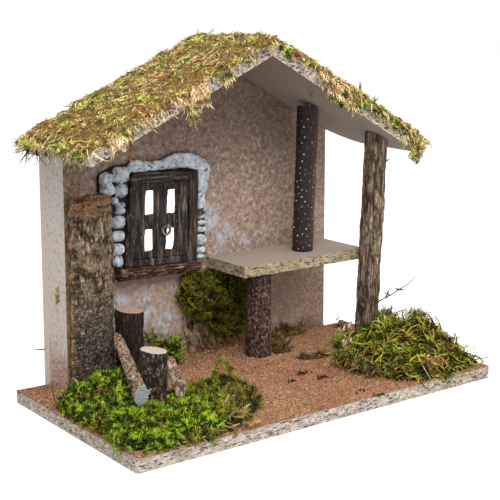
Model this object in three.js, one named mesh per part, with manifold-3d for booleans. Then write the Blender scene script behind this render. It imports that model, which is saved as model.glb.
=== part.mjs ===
// A rustic crib stable: a chipboard hut on a sawdust floor, with bark posts, a loft,
// a stone-framed window, wood stumps and moss. It is built as on a bench: boards are
// sawn, drilled and nailed, then posts, castings, wood and moss are glued on.
// Millimetres, +Z up, +X to the right along the open front, +Y towards the back.
// The origin is the centre of the base board's underside.

import * as THREE from 'three';
import { mergeVertices } from 'three/addons/utils/BufferGeometryUtils.js';
import Module from 'manifold-3d';

const wasm = await Module();
wasm.setup();

// Clearance between pieces that are cut, turned or pressed into moss
const GAP = 0.3;

// Base board and the glued sawdust on it
const BASE_WIDTH = 300;
const BASE_DEPTH = 157;
const BASE_THICKNESS = 8;
const BASE_CORNER_RADIUS = 2;
const SAWDUST_THICKNESS = 1;
const SAWDUST_MARGIN = 1.6;

// Walls
const WALL_THICKNESS = 8;
const LEFT_WALL_INSET = 27.5;
const LEFT_WALL_DEPTH = 25.5;
const RIGHT_END_INSET = 24;

// Roof: both pitches meet at the underside of the ridge
const RIDGE_HEIGHT = 232.7;
const RIDGE_FROM_LEFT_WALL = 132.2;
const LEFT_PITCH = THREE.MathUtils.degToRad(24.65);
const RIGHT_PITCH = THREE.MathUtils.degToRad(28.5);
const ROOF_THICKNESS = 8.5;
const ROOF_FRONT_OVERHANG = 79.5;
const LEFT_EAVE_OVERHANG = 8.8;
const RIGHT_EAVE_OVERHANG = 23;
const RIDGE_LAP = 7.6;

// Loft shelf and its posts
const SHELF_TOP_ABOVE_FLOOR = 72;
const SHELF_THICKNESS = 8;
const SHELF_FROM_WINDOW = 10.6;
const SHELF_DEPTH = 47.9;
const SUPPORT_POST_RADIUS = 9.6;
const SUPPORT_POST_FROM_SHELF_END = 23.4;
const SUPPORT_POST_BEHIND_EDGE = 14.4;
const LOFT_POST_RADIUS = 8.1;
const LOFT_POST_FROM_SHELF_END = 44;
const LOFT_POST_BEHIND_EDGE = 22.4;
const LOFT_POST_LEAN = new THREE.Vector2(-2.5, -8);
const LOFT_POST_END_SLOPE = 0.2;
const FRONT_POST_RADIUS = 8.6;
const FRONT_POST_FROM_RIGHT_END = 6.5;
const FRONT_POST_LEAN = new THREE.Vector2(8, 0);

// Bark slab in front of the left wall's edge
const SLAB_HEIGHT = 132;
const SLAB_THICKNESS = 7.5;
const SLAB_CURVE_RADIUS = 30;
const SLAB_HALF_ANGLE = THREE.MathUtils.degToRad(32);
const SLAB_FOOT_FLARE = 1.1;

// Window: its own centre on the back wall, a little crooked
const WINDOW_FROM_LEFT_WALL = 90.5;
const WINDOW_HEIGHT = 106.2;
const WINDOW_TILT = THREE.MathUtils.degToRad(2.4);
const FRAME_DEPTH = 5.5;
const FRAME_WIDTH = 62;
const FRAME_HEIGHT = 67.5;
const FRAME_TOP_NARROWING = 4.4;
const OPENING_TOP_NARROWING = 2.7;
const JAMB_WIDTH = 7.5;
const HEAD_HEIGHT = 7;
const BOTTOM_RAIL_HEIGHT = 5;
const CASEMENT_THICKNESS = 6;
const CASEMENT_RECESS = 1.3;
const LIGHT_WIDTH = 10.4;
const LIGHT_FROM_MEETING_EDGE = 4;
const TOP_RAIL = 6;
const MIDDLE_RAIL = 9.5;
const LOWER_RAIL = 4.5;
const UPPER_LIGHT_HEIGHT = 18.6;
const STONE_DEPTH = 6.8;
const MORTAR_DEPTH = 2.4;
const BAND_DEPTH = 5;
const RING_RADIUS = 3.4;
const RING_WIRE_RADIUS = 1.15;
const RING_BELOW_RAIL = 2.6;
const PEG_WIDTH = 4.4;
const PEG_HEIGHT = 4.8;
const PEG_DEPTH = 5.6;
const PEG_ABOVE_CENTRE = 2.4;
const SILL_LENGTH = 69;
const SILL_OVERHANG = 6;
const SILL_DEPTH = 11;
const SILL_THICKNESS = 8.4;

// Stumps and leaning wood by the left wall
const REAR_STUMP_HEIGHT = 52;
const REAR_STUMP_RADIUS = 9.7;
const REAR_STUMP_Y = 45;
const FRONT_STUMP_HEIGHT = 36;
const FRONT_STUMP_RADIUS = 9.2;
const FRONT_STUMP_FROM_WALL = 33.5;
const FRONT_STUMP_Y = -2;

// Moss thickness on the roof
const ROOF_MOSS_THICKNESS = 8.6;
const ROOF_MOSS_LIP = 3;
const RIDGE_LIP = 1;
const BLANKET_WOBBLE = 1.3;

// Loose stems in the moss
const STEM_RADIUS = 0.9;
const STEM_LENGTH = 20;
const TWIG_RADIUS = 0.9;

// Brad nails
const NAIL_RADIUS = 0.6;
const NAIL_LENGTH = 22;
const SHORT_NAIL_LENGTH = 13;
const NAIL_SET = 0.2;

// Sizes that follow from those above
const FLOOR = BASE_THICKNESS + SAWDUST_THICKNESS;
const LEFT = -BASE_WIDTH / 2;
const RIGHT = BASE_WIDTH / 2;
const FRONT = -BASE_DEPTH / 2;
const WALL_FACE = BASE_DEPTH / 2;
const WALL_BACK = WALL_FACE + WALL_THICKNESS;
const LEFT_WALL_X = LEFT + LEFT_WALL_INSET;
const LEFT_WALL_FRONT = WALL_FACE - LEFT_WALL_DEPTH;
const RIGHT_END_X = RIGHT - RIGHT_END_INSET;
const RIDGE_X = LEFT_WALL_X + RIDGE_FROM_LEFT_WALL;
const ROOF_FRONT = WALL_FACE - ROOF_FRONT_OVERHANG;
const ROOF_BACK = WALL_BACK + 0.5;
const SHELF_TOP = FLOOR + SHELF_TOP_ABOVE_FLOOR;
const SHELF_BOTTOM = SHELF_TOP - SHELF_THICKNESS;
const SHELF_LEFT = LEFT_WALL_X + WINDOW_FROM_LEFT_WALL + FRAME_WIDTH / 2 + SHELF_FROM_WINDOW;
const SHELF_LENGTH = RIGHT_END_X - SHELF_LEFT;
const SHELF_FRONT = WALL_FACE - SHELF_DEPTH;
const SHELF_MID = SHELF_TOP - SHELF_THICKNESS / 2;

// Materials
function finish(color, roughness, metalness = 0) {
  return new THREE.MeshStandardMaterial({ color, roughness, metalness });
}
const chipboard = finish(0xb9ab97, 0.9);
const paintedWall = finish(0x8d7868, 0.95);
const sawdust = finish(0xa87a5e, 1);
const furrowedBark = finish(0x6b5846, 0.95);
const cherryBark = finish(0x2e2622, 0.7);
const greyBark = finish(0x544941, 0.9);
const orangeBark = finish(0x8a6444, 0.95);
const darkBark = finish(0x3a2f28, 0.9);
const splitWood = finish(0x9a8873, 0.9);
const stone = finish(0xb4bcc6, 0.85);
const darkTimber = finish(0x3a2f2a, 0.8);
const sillBark = finish(0x5a4233, 0.9);
const brass = finish(0x8d7b4e, 0.5, 0.6);
const dryMoss = finish(0xa39a3e, 1);
const greenMoss = finish(0x5d8a1e, 1);
const darkMoss = finish(0x4a4f16, 1);
const twigWood = finish(0x6a5a3a, 0.9);
const steel = finish(0x9a9a98, 0.4, 1);

// Solids: a closed geometry becomes a solid for joining and cutting, and back
function asSolid(geometry) {
  const bare = new THREE.BufferGeometry();
  bare.setAttribute('position', geometry.getAttribute('position').clone());
  if (geometry.index) bare.setIndex(geometry.index.clone());
  const merged = mergeVertices(bare, 1e-4);
  return new wasm.Manifold(new wasm.Mesh({
    numProp: 3,
    vertProperties: new Float32Array(merged.getAttribute('position').array),
    triVerts: new Uint32Array(merged.index.array),
  }));
}

function asGeometry(solid) {
  const mesh = solid.getMesh();
  const geometry = new THREE.BufferGeometry();
  geometry.setAttribute('position', new THREE.BufferAttribute(mesh.vertProperties, 3));
  geometry.setIndex(new THREE.BufferAttribute(mesh.triVerts, 1));
  geometry.computeVertexNormals();
  return geometry;
}

// The largest piece, where a cut leaves crumbs
function mainBody(solid) {
  const pieces = solid.decompose();
  return pieces.reduce((best, piece) => (piece.volume() > best.volume() ? piece : best));
}

// Handmade unevenness: a smooth value between about -1 and 1
function ripple(a, b, seed) {
  return 0.55 * Math.sin(1.7 * a + 2.3 * b + seed) + 0.45 * Math.sin(3.1 * a - 1.3 * b + 2.7 * seed);
}

// A closed skin over rings of equal count. The end rings are flat seen along one axis,
// which `project` drops; without it the ends are plain fans.
function loft(rings, project) {
  const sides = rings[0].length;
  const triangles = [];
  for (let r = 0; r + 1 < rings.length; r++) {
    for (let i = 0; i < sides; i++) {
      const a = r * sides + i;
      const b = r * sides + (i + 1) % sides;
      triangles.push([a, b, b + sides], [a, b + sides, a + sides]);
    }
  }
  for (const [start, turned] of [[0, true], [(rings.length - 1) * sides, false]]) {
    const ring = rings[start / sides];
    for (const face of capFaces(ring, project)) {
      const corners = face.map((corner) => start + corner);
      triangles.push(turned ? corners.reverse() : corners);
    }
  }
  return closedGeometry(rings.flat(), triangles);
}

function capFaces(ring, project) {
  if (!project) {
    return ring.slice(2).map((_, i) => [0, i + 1, i + 2]);
  }
  const outline = ring.map(project);
  const ringSign = Math.sign(THREE.ShapeUtils.area(outline));
  return THREE.ShapeUtils.triangulateShape(outline, []).map((face) => {
    const sign = Math.sign(THREE.ShapeUtils.area(face.map((corner) => outline[corner])));
    return sign === ringSign ? face : [...face].reverse();
  });
}

function closedGeometry(points, triangles) {
  const volume = triangles.reduce((sum, [a, b, c]) =>
    sum + points[a].dot(points[b].clone().cross(points[c])), 0);
  const faces = volume < 0 ? triangles.map((face) => [...face].reverse()) : triangles;
  const geometry = new THREE.BufferGeometry().setFromPoints(points);
  geometry.setIndex(faces.flat());
  return geometry;
}

const alongZ = (point) => new THREE.Vector2(point.x, point.y);
const alongX = (point) => new THREE.Vector2(point.y, point.z);
const alongY = (point) => new THREE.Vector2(point.x, point.z);

// Flat outlines: a plate lies flat, and a panel stands with its back at y = 0
function shapeOf(points, holes = []) {
  const shape = new THREE.Shape(points.map(([x, y]) => new THREE.Vector2(x, y)));
  shape.holes = holes.map((hole) => new THREE.Path(hole.map(([x, y]) => new THREE.Vector2(x, y))));
  return shape;
}

function plate(shape, thickness, bevel = 0) {
  return new THREE.ExtrudeGeometry(shape, {
    depth: thickness - 2 * bevel,
    bevelEnabled: bevel > 0,
    bevelThickness: bevel,
    bevelSize: bevel,
    bevelOffset: -bevel,
    bevelSegments: 1,
    curveSegments: 3,
  }).translate(0, 0, bevel);
}

function panel(shape, thickness, bevel = 0) {
  return plate(shape, thickness, bevel).rotateX(Math.PI / 2);
}

function box(width, depth, height) {
  return new THREE.BoxGeometry(width, depth, height);
}

function smoothOutline(points, samples) {
  const curve = new THREE.CatmullRomCurve3(
    points.map(([x, y]) => new THREE.Vector3(x, y, 0)), true, 'centripetal');
  return curve.getSpacedPoints(samples).slice(0, -1).map((point) => [point.x, point.y]);
}

// Bark-covered round wood on level rings. `topAt` gives the height of its sawn end.
function barkPost(wood) {
  const { foot, head, bottom, topAt, footRadius, headRadius, sides, levels } = wood;
  const { roughness, seed, grow = 0 } = wood;
  const top = topAt(head.x, head.y);
  const rings = [];
  for (let level = 0; level <= levels; level++) {
    const t = level / levels;
    const centre = foot.clone().lerp(head, t);
    const radius = THREE.MathUtils.lerp(footRadius, headRadius, t);
    const ring = [];
    for (let i = 0; i < sides; i++) {
      const angle = 2 * Math.PI * i / sides;
      const furrow = roughness * (ripple(2 * angle, 1.6 * level, seed) + 0.5 * Math.cos(4 * angle + seed));
      const reach = radius + furrow + grow;
      const x = centre.x + reach * Math.cos(angle);
      const y = centre.y + reach * Math.sin(angle);
      const z = level === levels ? topAt(x, y) + grow : bottom + t * (top - bottom) * 0.94;
      ring.push(new THREE.Vector3(x, y, level === 0 ? z - 6 * grow : z));
    }
    rings.push(ring);
  }
  return asSolid(loft(rings, alongZ));
}

// A leaning piece of round wood whose two ends are sawn upright, facing the front
function leaningLog({ low, high, lowSize, highSize, stations, sides, roughness, seed, grow = 0 }) {
  const along = high.clone().sub(low).divideScalar(high.y - low.y);
  const rings = [];
  for (let station = 0; station <= stations; station++) {
    const t = station / stations;
    const centre = low.clone().lerp(high, t);
    const halfWidth = THREE.MathUtils.lerp(lowSize.x, highSize.x, t) + grow;
    const halfHeight = THREE.MathUtils.lerp(lowSize.y, highSize.y, t) + grow * Math.hypot(1, along.z);
    const ring = [];
    for (let i = 0; i < sides; i++) {
      const angle = 2 * Math.PI * i / sides;
      const bump = 1 + roughness * ripple(2 * angle, 1.4 * station, seed);
      const across = halfWidth * bump * Math.cos(angle);
      const above = halfHeight * bump * Math.sin(angle);
      ring.push(new THREE.Vector3(centre.x + across, centre.y, centre.z + above));
    }
    rings.push(ring);
  }
  rings[0].forEach((point) => point.addScaledVector(along, -grow));
  rings.at(-1).forEach((point) => point.addScaledVector(along, grow));
  return asSolid(loft(rings, alongY));
}

// A thin twig through a few points
function twig(points, thickRadius, thinRadius, sides = 5) {
  const curve = new THREE.CatmullRomCurve3(points);
  const steps = 3 * (points.length - 1);
  const frames = curve.computeFrenetFrames(steps, false);
  const rings = [];
  for (let step = 0; step <= steps; step++) {
    const centre = curve.getPointAt(step / steps);
    const radius = THREE.MathUtils.lerp(thickRadius, thinRadius, step / steps);
    rings.push(Array.from({ length: sides }, (_, i) => {
      const angle = 2 * Math.PI * i / sides;
      return centre.clone()
        .addScaledVector(frames.normals[step], radius * Math.cos(angle))
        .addScaledVector(frames.binormals[step], radius * Math.sin(angle));
    }));
  }
  return asSolid(loft(rings));
}

// A moss cushion on a flat face at z = 0: it bulges out above its foot and domes over its humps
function mossCushion({ outline, humps, crown, samples, seed }) {
  const edge = smoothOutline(outline, samples).map(([x, y]) => new THREE.Vector2(x, y));
  const centre = edge.reduce((sum, point) => sum.add(point), new THREE.Vector2()).divideScalar(edge.length);
  const steps = [[0.97, 0], [1.02, 0.3], [1, 0.62], [0.88, 0.88], [0.68, 1], [0.42, 1], [0.17, 1]];
  const rings = steps.map(([reach, lift], row) => edge.map((point) => {
    const at = centre.clone().lerp(point, reach);
    const hump = humps.reduce((sum, [x, y, rise, spread]) =>
      sum + rise * Math.exp(-((at.x - x) ** 2 + (at.y - y) ** 2) / (2 * spread * spread)), 0);
    const uneven = row > 1 ? 0.09 * crown * ripple(at.x / 4.5, at.y / 5, seed) : 0;
    return new THREE.Vector3(at.x, at.y, lift * (crown + hump) + uneven);
  }));
  return loft(rings, alongZ);
}

// A moss blanket over a board: rippled edges, thicker inside than along its rim
function mossBlanket({ from, to, front, back, columns, rows, thickness, seed }) {
  const top = [];
  for (let i = 0; i <= columns; i++) {
    for (let j = 0; j <= rows; j++) {
      const s = THREE.MathUtils.lerp(from, to, i / columns);
      const y = THREE.MathUtils.lerp(front, back, j / rows);
      const rim = Math.min(i, columns - i, j, rows - j);
      const swell = [0.45, 0.86, 1][Math.min(rim, 2)];
      const wobble = rim === 0 ? BLANKET_WOBBLE : 0;
      top.push(new THREE.Vector3(
        s + wobble * ripple(y / 9, s / 14, seed),
        y + wobble * ripple(s / 10, y / 12, seed + 1),
        thickness * (swell + 0.16 * ripple(s / 9, y / 8, seed + 2) * Math.min(rim, 1))));
    }
  }
  const at = (i, j) => i * (rows + 1) + j;
  const triangles = [];
  for (let i = 0; i < columns; i++) {
    for (let j = 0; j < rows; j++) {
      triangles.push([at(i, j), at(i + 1, j), at(i + 1, j + 1)], [at(i, j), at(i + 1, j + 1), at(i, j + 1)]);
    }
  }
  const border = [];
  for (let i = 0; i < columns; i++) border.push(at(i, 0));
  for (let j = 0; j < rows; j++) border.push(at(columns, j));
  for (let i = columns; i > 0; i--) border.push(at(i, rows));
  for (let j = rows; j > 0; j--) border.push(at(0, j));
  const count = top.length;
  const under = border.map((corner) => top[corner].clone().setZ(0));
  border.forEach((corner, k) => {
    const next = (k + 1) % border.length;
    triangles.push([corner, count + k, count + next], [corner, count + next, border[next]]);
  });
  for (const face of capFaces(under, alongZ)) {
    triangles.push([...face].reverse().map((corner) => count + corner));
  }
  return closedGeometry([...top, ...under], triangles);
}

// Frames that pieces are set in
const stable = new THREE.Group();
const leftRoof = new THREE.Group();
leftRoof.position.set(RIDGE_X, 0, RIDGE_HEIGHT);
leftRoof.rotation.y = -LEFT_PITCH;
const rightRoof = new THREE.Group();
rightRoof.position.set(RIDGE_X, 0, RIDGE_HEIGHT);
rightRoof.rotation.y = RIGHT_PITCH;
const gableWindow = new THREE.Group();
gableWindow.position.set(LEFT_WALL_X + WINDOW_FROM_LEFT_WALL, WALL_FACE, FLOOR + WINDOW_HEIGHT);
gableWindow.rotation.y = WINDOW_TILT;
stable.add(leftRoof, rightRoof, gableWindow);
stable.updateMatrixWorld(true);

// A geometry made in one frame, as seen from another
function carry(geometry, from, to) {
  const matrix = to.matrixWorld.clone().invert().multiply(from.matrixWorld);
  return geometry.applyMatrix4(matrix);
}

function place(name, solid, material, frame = stable) {
  const mesh = new THREE.Mesh(asGeometry(solid), material);
  mesh.name = name;
  frame.add(mesh);
  return mesh;
}

// Height of the roof's underside, less the clearance that sawn tops keep below it
function underLeftRoof(x) {
  return RIDGE_HEIGHT - (RIDGE_X - x) * Math.tan(LEFT_PITCH) - GAP / Math.cos(LEFT_PITCH);
}
function underRightRoof(x) {
  return RIDGE_HEIGHT - (x - RIDGE_X) * Math.tan(RIGHT_PITCH) - GAP / Math.cos(RIGHT_PITCH);
}

// Posts: where each stands and how it is sawn off
const supportPost = {
  foot: new THREE.Vector2(SHELF_LEFT + SUPPORT_POST_FROM_SHELF_END, SHELF_FRONT + SUPPORT_POST_BEHIND_EDGE),
  bottom: BASE_THICKNESS,
  topAt: () => SHELF_BOTTOM,
  footRadius: SUPPORT_POST_RADIUS,
  headRadius: SUPPORT_POST_RADIUS,
  sides: 18,
  levels: 6,
  roughness: 0.35,
  seed: 2,
};
supportPost.head = supportPost.foot.clone();

const loftPost = {
  foot: new THREE.Vector2(RIGHT_END_X - LOFT_POST_FROM_SHELF_END, SHELF_FRONT + LOFT_POST_BEHIND_EDGE),
  bottom: SHELF_TOP,
  footRadius: LOFT_POST_RADIUS,
  headRadius: LOFT_POST_RADIUS,
  sides: 16,
  levels: 8,
  roughness: 0.2,
  seed: 5,
};
loftPost.head = loftPost.foot.clone().add(LOFT_POST_LEAN);
loftPost.topAt = (x) => {
  const touch = loftPost.head.x + LOFT_POST_RADIUS + 0.4;
  return underRightRoof(touch) + (touch - x) * LOFT_POST_END_SLOPE;
};

const frontPost = {
  foot: new THREE.Vector2(
    RIGHT_END_X - FRONT_POST_FROM_RIGHT_END, SHELF_FRONT - FRONT_POST_RADIUS - 0.5),
  bottom: BASE_THICKNESS,
  topAt: (x) => underRightRoof(x),
  footRadius: FRONT_POST_RADIUS,
  headRadius: FRONT_POST_RADIUS,
  sides: 18,
  levels: 10,
  roughness: 0.4,
  seed: 9,
};
frontPost.head = frontPost.foot.clone().add(FRONT_POST_LEAN);

// Curved bark slab: an arc-shaped section, rough outside, that widens towards its foot
const SLAB_MIDDLE_X = LEFT_WALL_X + SLAB_CURVE_RADIUS * Math.sin(SLAB_HALF_ANGLE) + 0.5;
const SLAB_BACK = LEFT_WALL_FRONT - GAP;
function barkSlab(grow = 0) {
  const arcPoints = 8;
  const levels = 9;
  const inner = SLAB_CURVE_RADIUS - SLAB_THICKNESS;
  const axisY = SLAB_BACK + inner * Math.cos(SLAB_HALF_ANGLE * SLAB_FOOT_FLARE);
  const rings = [];
  for (let level = 0; level <= levels; level++) {
    const t = level / levels;
    const flare = THREE.MathUtils.lerp(SLAB_FOOT_FLARE, 1, t);
    const halfAngle = SLAB_HALF_ANGLE * flare + grow / SLAB_CURVE_RADIUS;
    const outside = [];
    const inside = [];
    for (let i = 0; i <= arcPoints; i++) {
      const angle = THREE.MathUtils.lerp(-halfAngle, halfAngle, i / arcPoints);
      const rough = SLAB_CURVE_RADIUS + grow + 0.7 * ripple(6 * angle, 1.3 * level, 4);
      const lift = level === levels ? 1 : 0;
      const z = FLOOR + t * SLAB_HEIGHT - (level === 0 ? 6 * grow : 0);
      const edge = 0.8 * ripple(2, 2 * level, 1);
      const hollow = inner - grow;
      outside.push(new THREE.Vector3(
        SLAB_MIDDLE_X + (rough + edge) * Math.sin(angle), axisY - rough * Math.cos(angle), z - 1.5 * lift));
      inside.push(new THREE.Vector3(
        SLAB_MIDDLE_X + hollow * Math.sin(angle), axisY - hollow * Math.cos(angle), z + 1.2 * lift));
    }
    rings.push([...outside, ...inside.reverse()]);
  }
  return asSolid(loft(rings, alongZ));
}

// Stumps stand on the floor; each top is sawn a little towards the front
const rearStump = {
  foot: new THREE.Vector2(
    SLAB_MIDDLE_X + SLAB_CURVE_RADIUS * Math.sin(SLAB_HALF_ANGLE) + REAR_STUMP_RADIUS + 2, REAR_STUMP_Y),
  bottom: FLOOR,
  footRadius: REAR_STUMP_RADIUS,
  headRadius: REAR_STUMP_RADIUS,
  sides: 16,
  levels: 5,
  roughness: 0.3,
  seed: 3,
};
rearStump.head = rearStump.foot.clone();
rearStump.topAt = (x, y) =>
  FLOOR + REAR_STUMP_HEIGHT - 0.08 * (x - rearStump.head.x) + 0.11 * (y - rearStump.head.y);

const frontStump = {
  foot: new THREE.Vector2(LEFT_WALL_X + FRONT_STUMP_FROM_WALL, FRONT_STUMP_Y),
  bottom: FLOOR,
  footRadius: FRONT_STUMP_RADIUS - 0.8,
  headRadius: FRONT_STUMP_RADIUS,
  sides: 16,
  levels: 5,
  roughness: 0.3,
  seed: 7,
};
frontStump.head = frontStump.foot.clone();
frontStump.topAt = (x, y) =>
  FLOOR + FRONT_STUMP_HEIGHT - 0.13 * (x - frontStump.head.x) + 0.06 * (y - frontStump.head.y);

const leftLog = {
  low: new THREE.Vector3(frontStump.foot.x - 14.6, frontStump.foot.y - 7.5, FLOOR + 9.5),
  high: new THREE.Vector3(rearStump.foot.x - 13.6, SLAB_BACK - 14.4, FLOOR + 35.5),
  lowSize: new THREE.Vector2(5.8, 7.6),
  highSize: new THREE.Vector2(3.4, 4.4),
  stations: 6,
  sides: 12,
  roughness: 0.05,
  seed: 2,
};
const rightLog = {
  low: new THREE.Vector3(frontStump.foot.x + FRONT_STUMP_RADIUS + 6.6, frontStump.foot.y - 8, FLOOR + 7.6),
  high: new THREE.Vector3(frontStump.foot.x + FRONT_STUMP_RADIUS + 4.9, frontStump.foot.y + 2.6, FLOOR + 24),
  lowSize: new THREE.Vector2(4.4, 7),
  highSize: new THREE.Vector2(4.2, 5.6),
  stations: 4,
  sides: 10,
  roughness: 0.05,
  seed: 6,
};

// The twig rises out of the right moss beside the front post
const mossTwigPath = [[4, -13, 14], [10, -11, 25], [20, -15, 35], [32, -21, 46]].map(([x, y, z]) =>
  new THREE.Vector3(frontPost.foot.x + x, frontPost.foot.y + y, FLOOR + z));

// Brad nails: head point, direction, and what each one holds together
const nails = [];
function nail(name, head, direction, through, length = NAIL_LENGTH) {
  nails.push({ name, head, direction: direction.clone().normalize(), through, length });
}
const IN = new THREE.Vector3(0, -1, 0);
const OUT = new THREE.Vector3(0, 1, 0);
const UP = new THREE.Vector3(0, 0, 1);
const DOWN = new THREE.Vector3(0, 0, -1);
const wallSpan = RIGHT_END_X - LEFT_WALL_X;
const wallMiddle = WALL_FACE + WALL_THICKNESS / 2;
const sideWall = new THREE.Vector3(
  LEFT_WALL_X + WALL_THICKNESS / 2, WALL_FACE - LEFT_WALL_DEPTH / 2, NAIL_SET);
[0.07, 0.36, 0.65, 0.95].forEach((share, i) => {
  const head = new THREE.Vector3(LEFT_WALL_X + share * wallSpan, WALL_BACK - NAIL_SET, BASE_THICKNESS / 2);
  nail(`nail_wall_to_base_${i + 1}`, head, IN, ['back_wall', 'base_board']);
});
[0.25, 0.75].forEach((share, i) => {
  const height = THREE.MathUtils.lerp(BASE_THICKNESS, underLeftRoof(LEFT_WALL_X), share);
  const head = new THREE.Vector3(sideWall.x, WALL_BACK - NAIL_SET, height);
  nail(`nail_wall_to_side_${i + 1}`, head, IN, ['back_wall', 'left_wall']);
});
nail('nail_base_to_side', sideWall, UP, ['base_board', 'left_wall']);
[0.18, 0.82].forEach((share, i) => {
  const head = new THREE.Vector3(SHELF_LEFT + share * SHELF_LENGTH, WALL_BACK - NAIL_SET, SHELF_MID);
  nail(`nail_wall_to_shelf_${i + 1}`, head, IN, ['back_wall', 'loft_shelf']);
});
function postNail(name, post, height, direction, through) {
  nail(name, new THREE.Vector3(post.foot.x, post.foot.y, height), direction, through);
}
postNail('nail_base_to_support_post', supportPost, NAIL_SET, UP, ['base_board', 'loft_support_post']);
postNail('nail_shelf_to_support_post', supportPost, SHELF_TOP - NAIL_SET, DOWN,
  ['loft_shelf', 'loft_support_post']);
postNail('nail_shelf_to_loft_post', loftPost, SHELF_BOTTOM + NAIL_SET, UP, ['loft_shelf', 'loft_post']);
postNail('nail_base_to_front_post', frontPost, NAIL_SET, UP, ['base_board', 'front_post']);
nail('nail_front_post_to_shelf', new THREE.Vector3(
  frontPost.foot.x + FRONT_POST_LEAN.x * 0.43, frontPost.foot.y - FRONT_POST_RADIUS + 1, SHELF_MID),
OUT, ['front_post', 'loft_shelf'], NAIL_LENGTH + SHORT_NAIL_LENGTH / 2);

// A roof nail is driven straight down through its board, above the point x, y
function roofNail(name, roof, pitch, [x, y], through) {
  const side = Math.sign(x - RIDGE_X);
  const slope = (x - RIDGE_X) / Math.cos(pitch) - side * ROOF_THICKNESS * Math.tan(pitch);
  const head = new THREE.Vector3(slope, y, ROOF_THICKNESS - NAIL_SET).applyMatrix4(roof.matrixWorld);
  nail(name, head, DOWN, through);
}
roofNail('nail_roof_to_side', leftRoof, LEFT_PITCH, [sideWall.x, sideWall.y],
  ['roof_board_left', 'left_wall']);
[0.72, 0.23].forEach((share, i) => roofNail(`nail_left_roof_to_wall_${i + 1}`, leftRoof, LEFT_PITCH,
  [THREE.MathUtils.lerp(RIDGE_X, LEFT_WALL_X, share), wallMiddle], ['roof_board_left', 'back_wall']));
[0.3, 0.82].forEach((share, i) => roofNail(`nail_right_roof_to_wall_${i + 1}`, rightRoof, RIGHT_PITCH,
  [THREE.MathUtils.lerp(RIDGE_X, RIGHT_END_X, share), wallMiddle], ['roof_board_right', 'back_wall']));
roofNail('nail_roof_to_loft_post', rightRoof, RIGHT_PITCH, [loftPost.head.x + 2, loftPost.head.y],
  ['roof_board_right', 'loft_post']);
roofNail('nail_roof_to_front_post', rightRoof, RIGHT_PITCH, [frontPost.head.x, frontPost.head.y],
  ['roof_board_right', 'front_post']);
[0.2, 0.8].forEach((share, i) => {
  const along = THREE.MathUtils.lerp(ROOF_FRONT, ROOF_BACK, share);
  const head = new THREE.Vector3(RIDGE_LAP / 2, along, ROOF_THICKNESS - NAIL_SET);
  const square = new THREE.Vector3(Math.sin(LEFT_PITCH), 0, -Math.cos(LEFT_PITCH));
  nail(`nail_ridge_${i + 1}`, head.applyMatrix4(leftRoof.matrixWorld), square,
    ['roof_board_left', 'roof_board_right'], SHORT_NAIL_LENGTH);
});

function nailRod(entry, radius, sides, before, after) {
  const length = entry.length + before + after;
  const turn = new THREE.Quaternion().setFromUnitVectors(OUT, entry.direction);
  return new THREE.CylinderGeometry(radius, radius, length, sides)
    .translate(0, length / 2 - before, 0)
    .applyQuaternion(turn)
    .translate(entry.head.x, entry.head.y, entry.head.z);
}

// The clearance holes that a piece needs for its nails
function drill(name, solid, frame = stable) {
  return nails.filter((entry) => entry.through.includes(name)).reduce((rest, entry) =>
    rest.subtract(asSolid(carry(nailRod(entry, NAIL_RADIUS + GAP + 0.1, 8, 3, GAP), stable, frame))), solid);
}

// Base board and its sawdust
function buildBase() {
  const r = BASE_CORNER_RADIUS;
  const shape = new THREE.Shape();
  shape.absarc(RIGHT - r, FRONT + r, r, -Math.PI / 2, 0);
  shape.absarc(RIGHT - r, WALL_FACE - r / 8, r / 8, 0, Math.PI / 2);
  shape.absarc(LEFT + r, WALL_FACE - r / 8, r / 8, Math.PI / 2, Math.PI);
  shape.absarc(LEFT + r, FRONT + r, r, Math.PI, Math.PI * 1.5);
  place('base_board', drill('base_board', asSolid(plate(shape, BASE_THICKNESS))), chipboard);
}

function buildSawdust() {
  const outline = [];
  const corners = [[LEFT, FRONT], [RIGHT, FRONT], [RIGHT, WALL_FACE], [LEFT, WALL_FACE]];
  const steps = [16, 9, 16, 9];
  corners.forEach(([x, y], side) => {
    const [nextX, nextY] = corners[(side + 1) % corners.length];
    for (let step = 0; step < steps[side]; step++) {
      const t = step / steps[side];
      const atX = THREE.MathUtils.lerp(x, nextX, t);
      const atY = THREE.MathUtils.lerp(y, nextY, t);
      const inset = SAWDUST_MARGIN + 0.9 * ripple(atX / 11, atY / 9, side);
      outline.push([atX - Math.sign(atX) * inset, atY - Math.sign(atY) * inset]);
    }
  });
  const leftWallFoot = box(WALL_THICKNESS + 2 * GAP, LEFT_WALL_DEPTH + 2 * GAP, 4 * SAWDUST_THICKNESS)
    .translate(sideWall.x, sideWall.y, BASE_THICKNESS + SAWDUST_THICKNESS);
  const skin = asSolid(plate(shapeOf(outline), SAWDUST_THICKNESS).translate(0, 0, BASE_THICKNESS))
    .subtract(asSolid(leftWallFoot))
    .subtract(barkPost({ ...supportPost, grow: GAP }))
    .subtract(barkPost({ ...frontPost, grow: GAP }));
  place('sawdust_ground', mainBody(skin), sawdust);
}

// Window outlines, in the window's own frame: x along the wall, y up
const halfFrame = FRAME_WIDTH / 2;
const frameBottom = -FRAME_HEIGHT / 2;
const frameTop = FRAME_HEIGHT / 2;
const frameOutline = [
  [-halfFrame, frameBottom], [halfFrame, frameBottom],
  [halfFrame - 1, frameTop], [-halfFrame + FRAME_TOP_NARROWING, frameTop]];
const openingBottom = frameBottom + BOTTOM_RAIL_HEIGHT;
const openingTop = frameTop - HEAD_HEIGHT;
const openingOutline = [
  [-halfFrame + JAMB_WIDTH, openingBottom], [halfFrame - JAMB_WIDTH, openingBottom],
  [halfFrame - JAMB_WIDTH - 1, openingTop], [-halfFrame + JAMB_WIDTH + OPENING_TOP_NARROWING, openingTop]];

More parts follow.
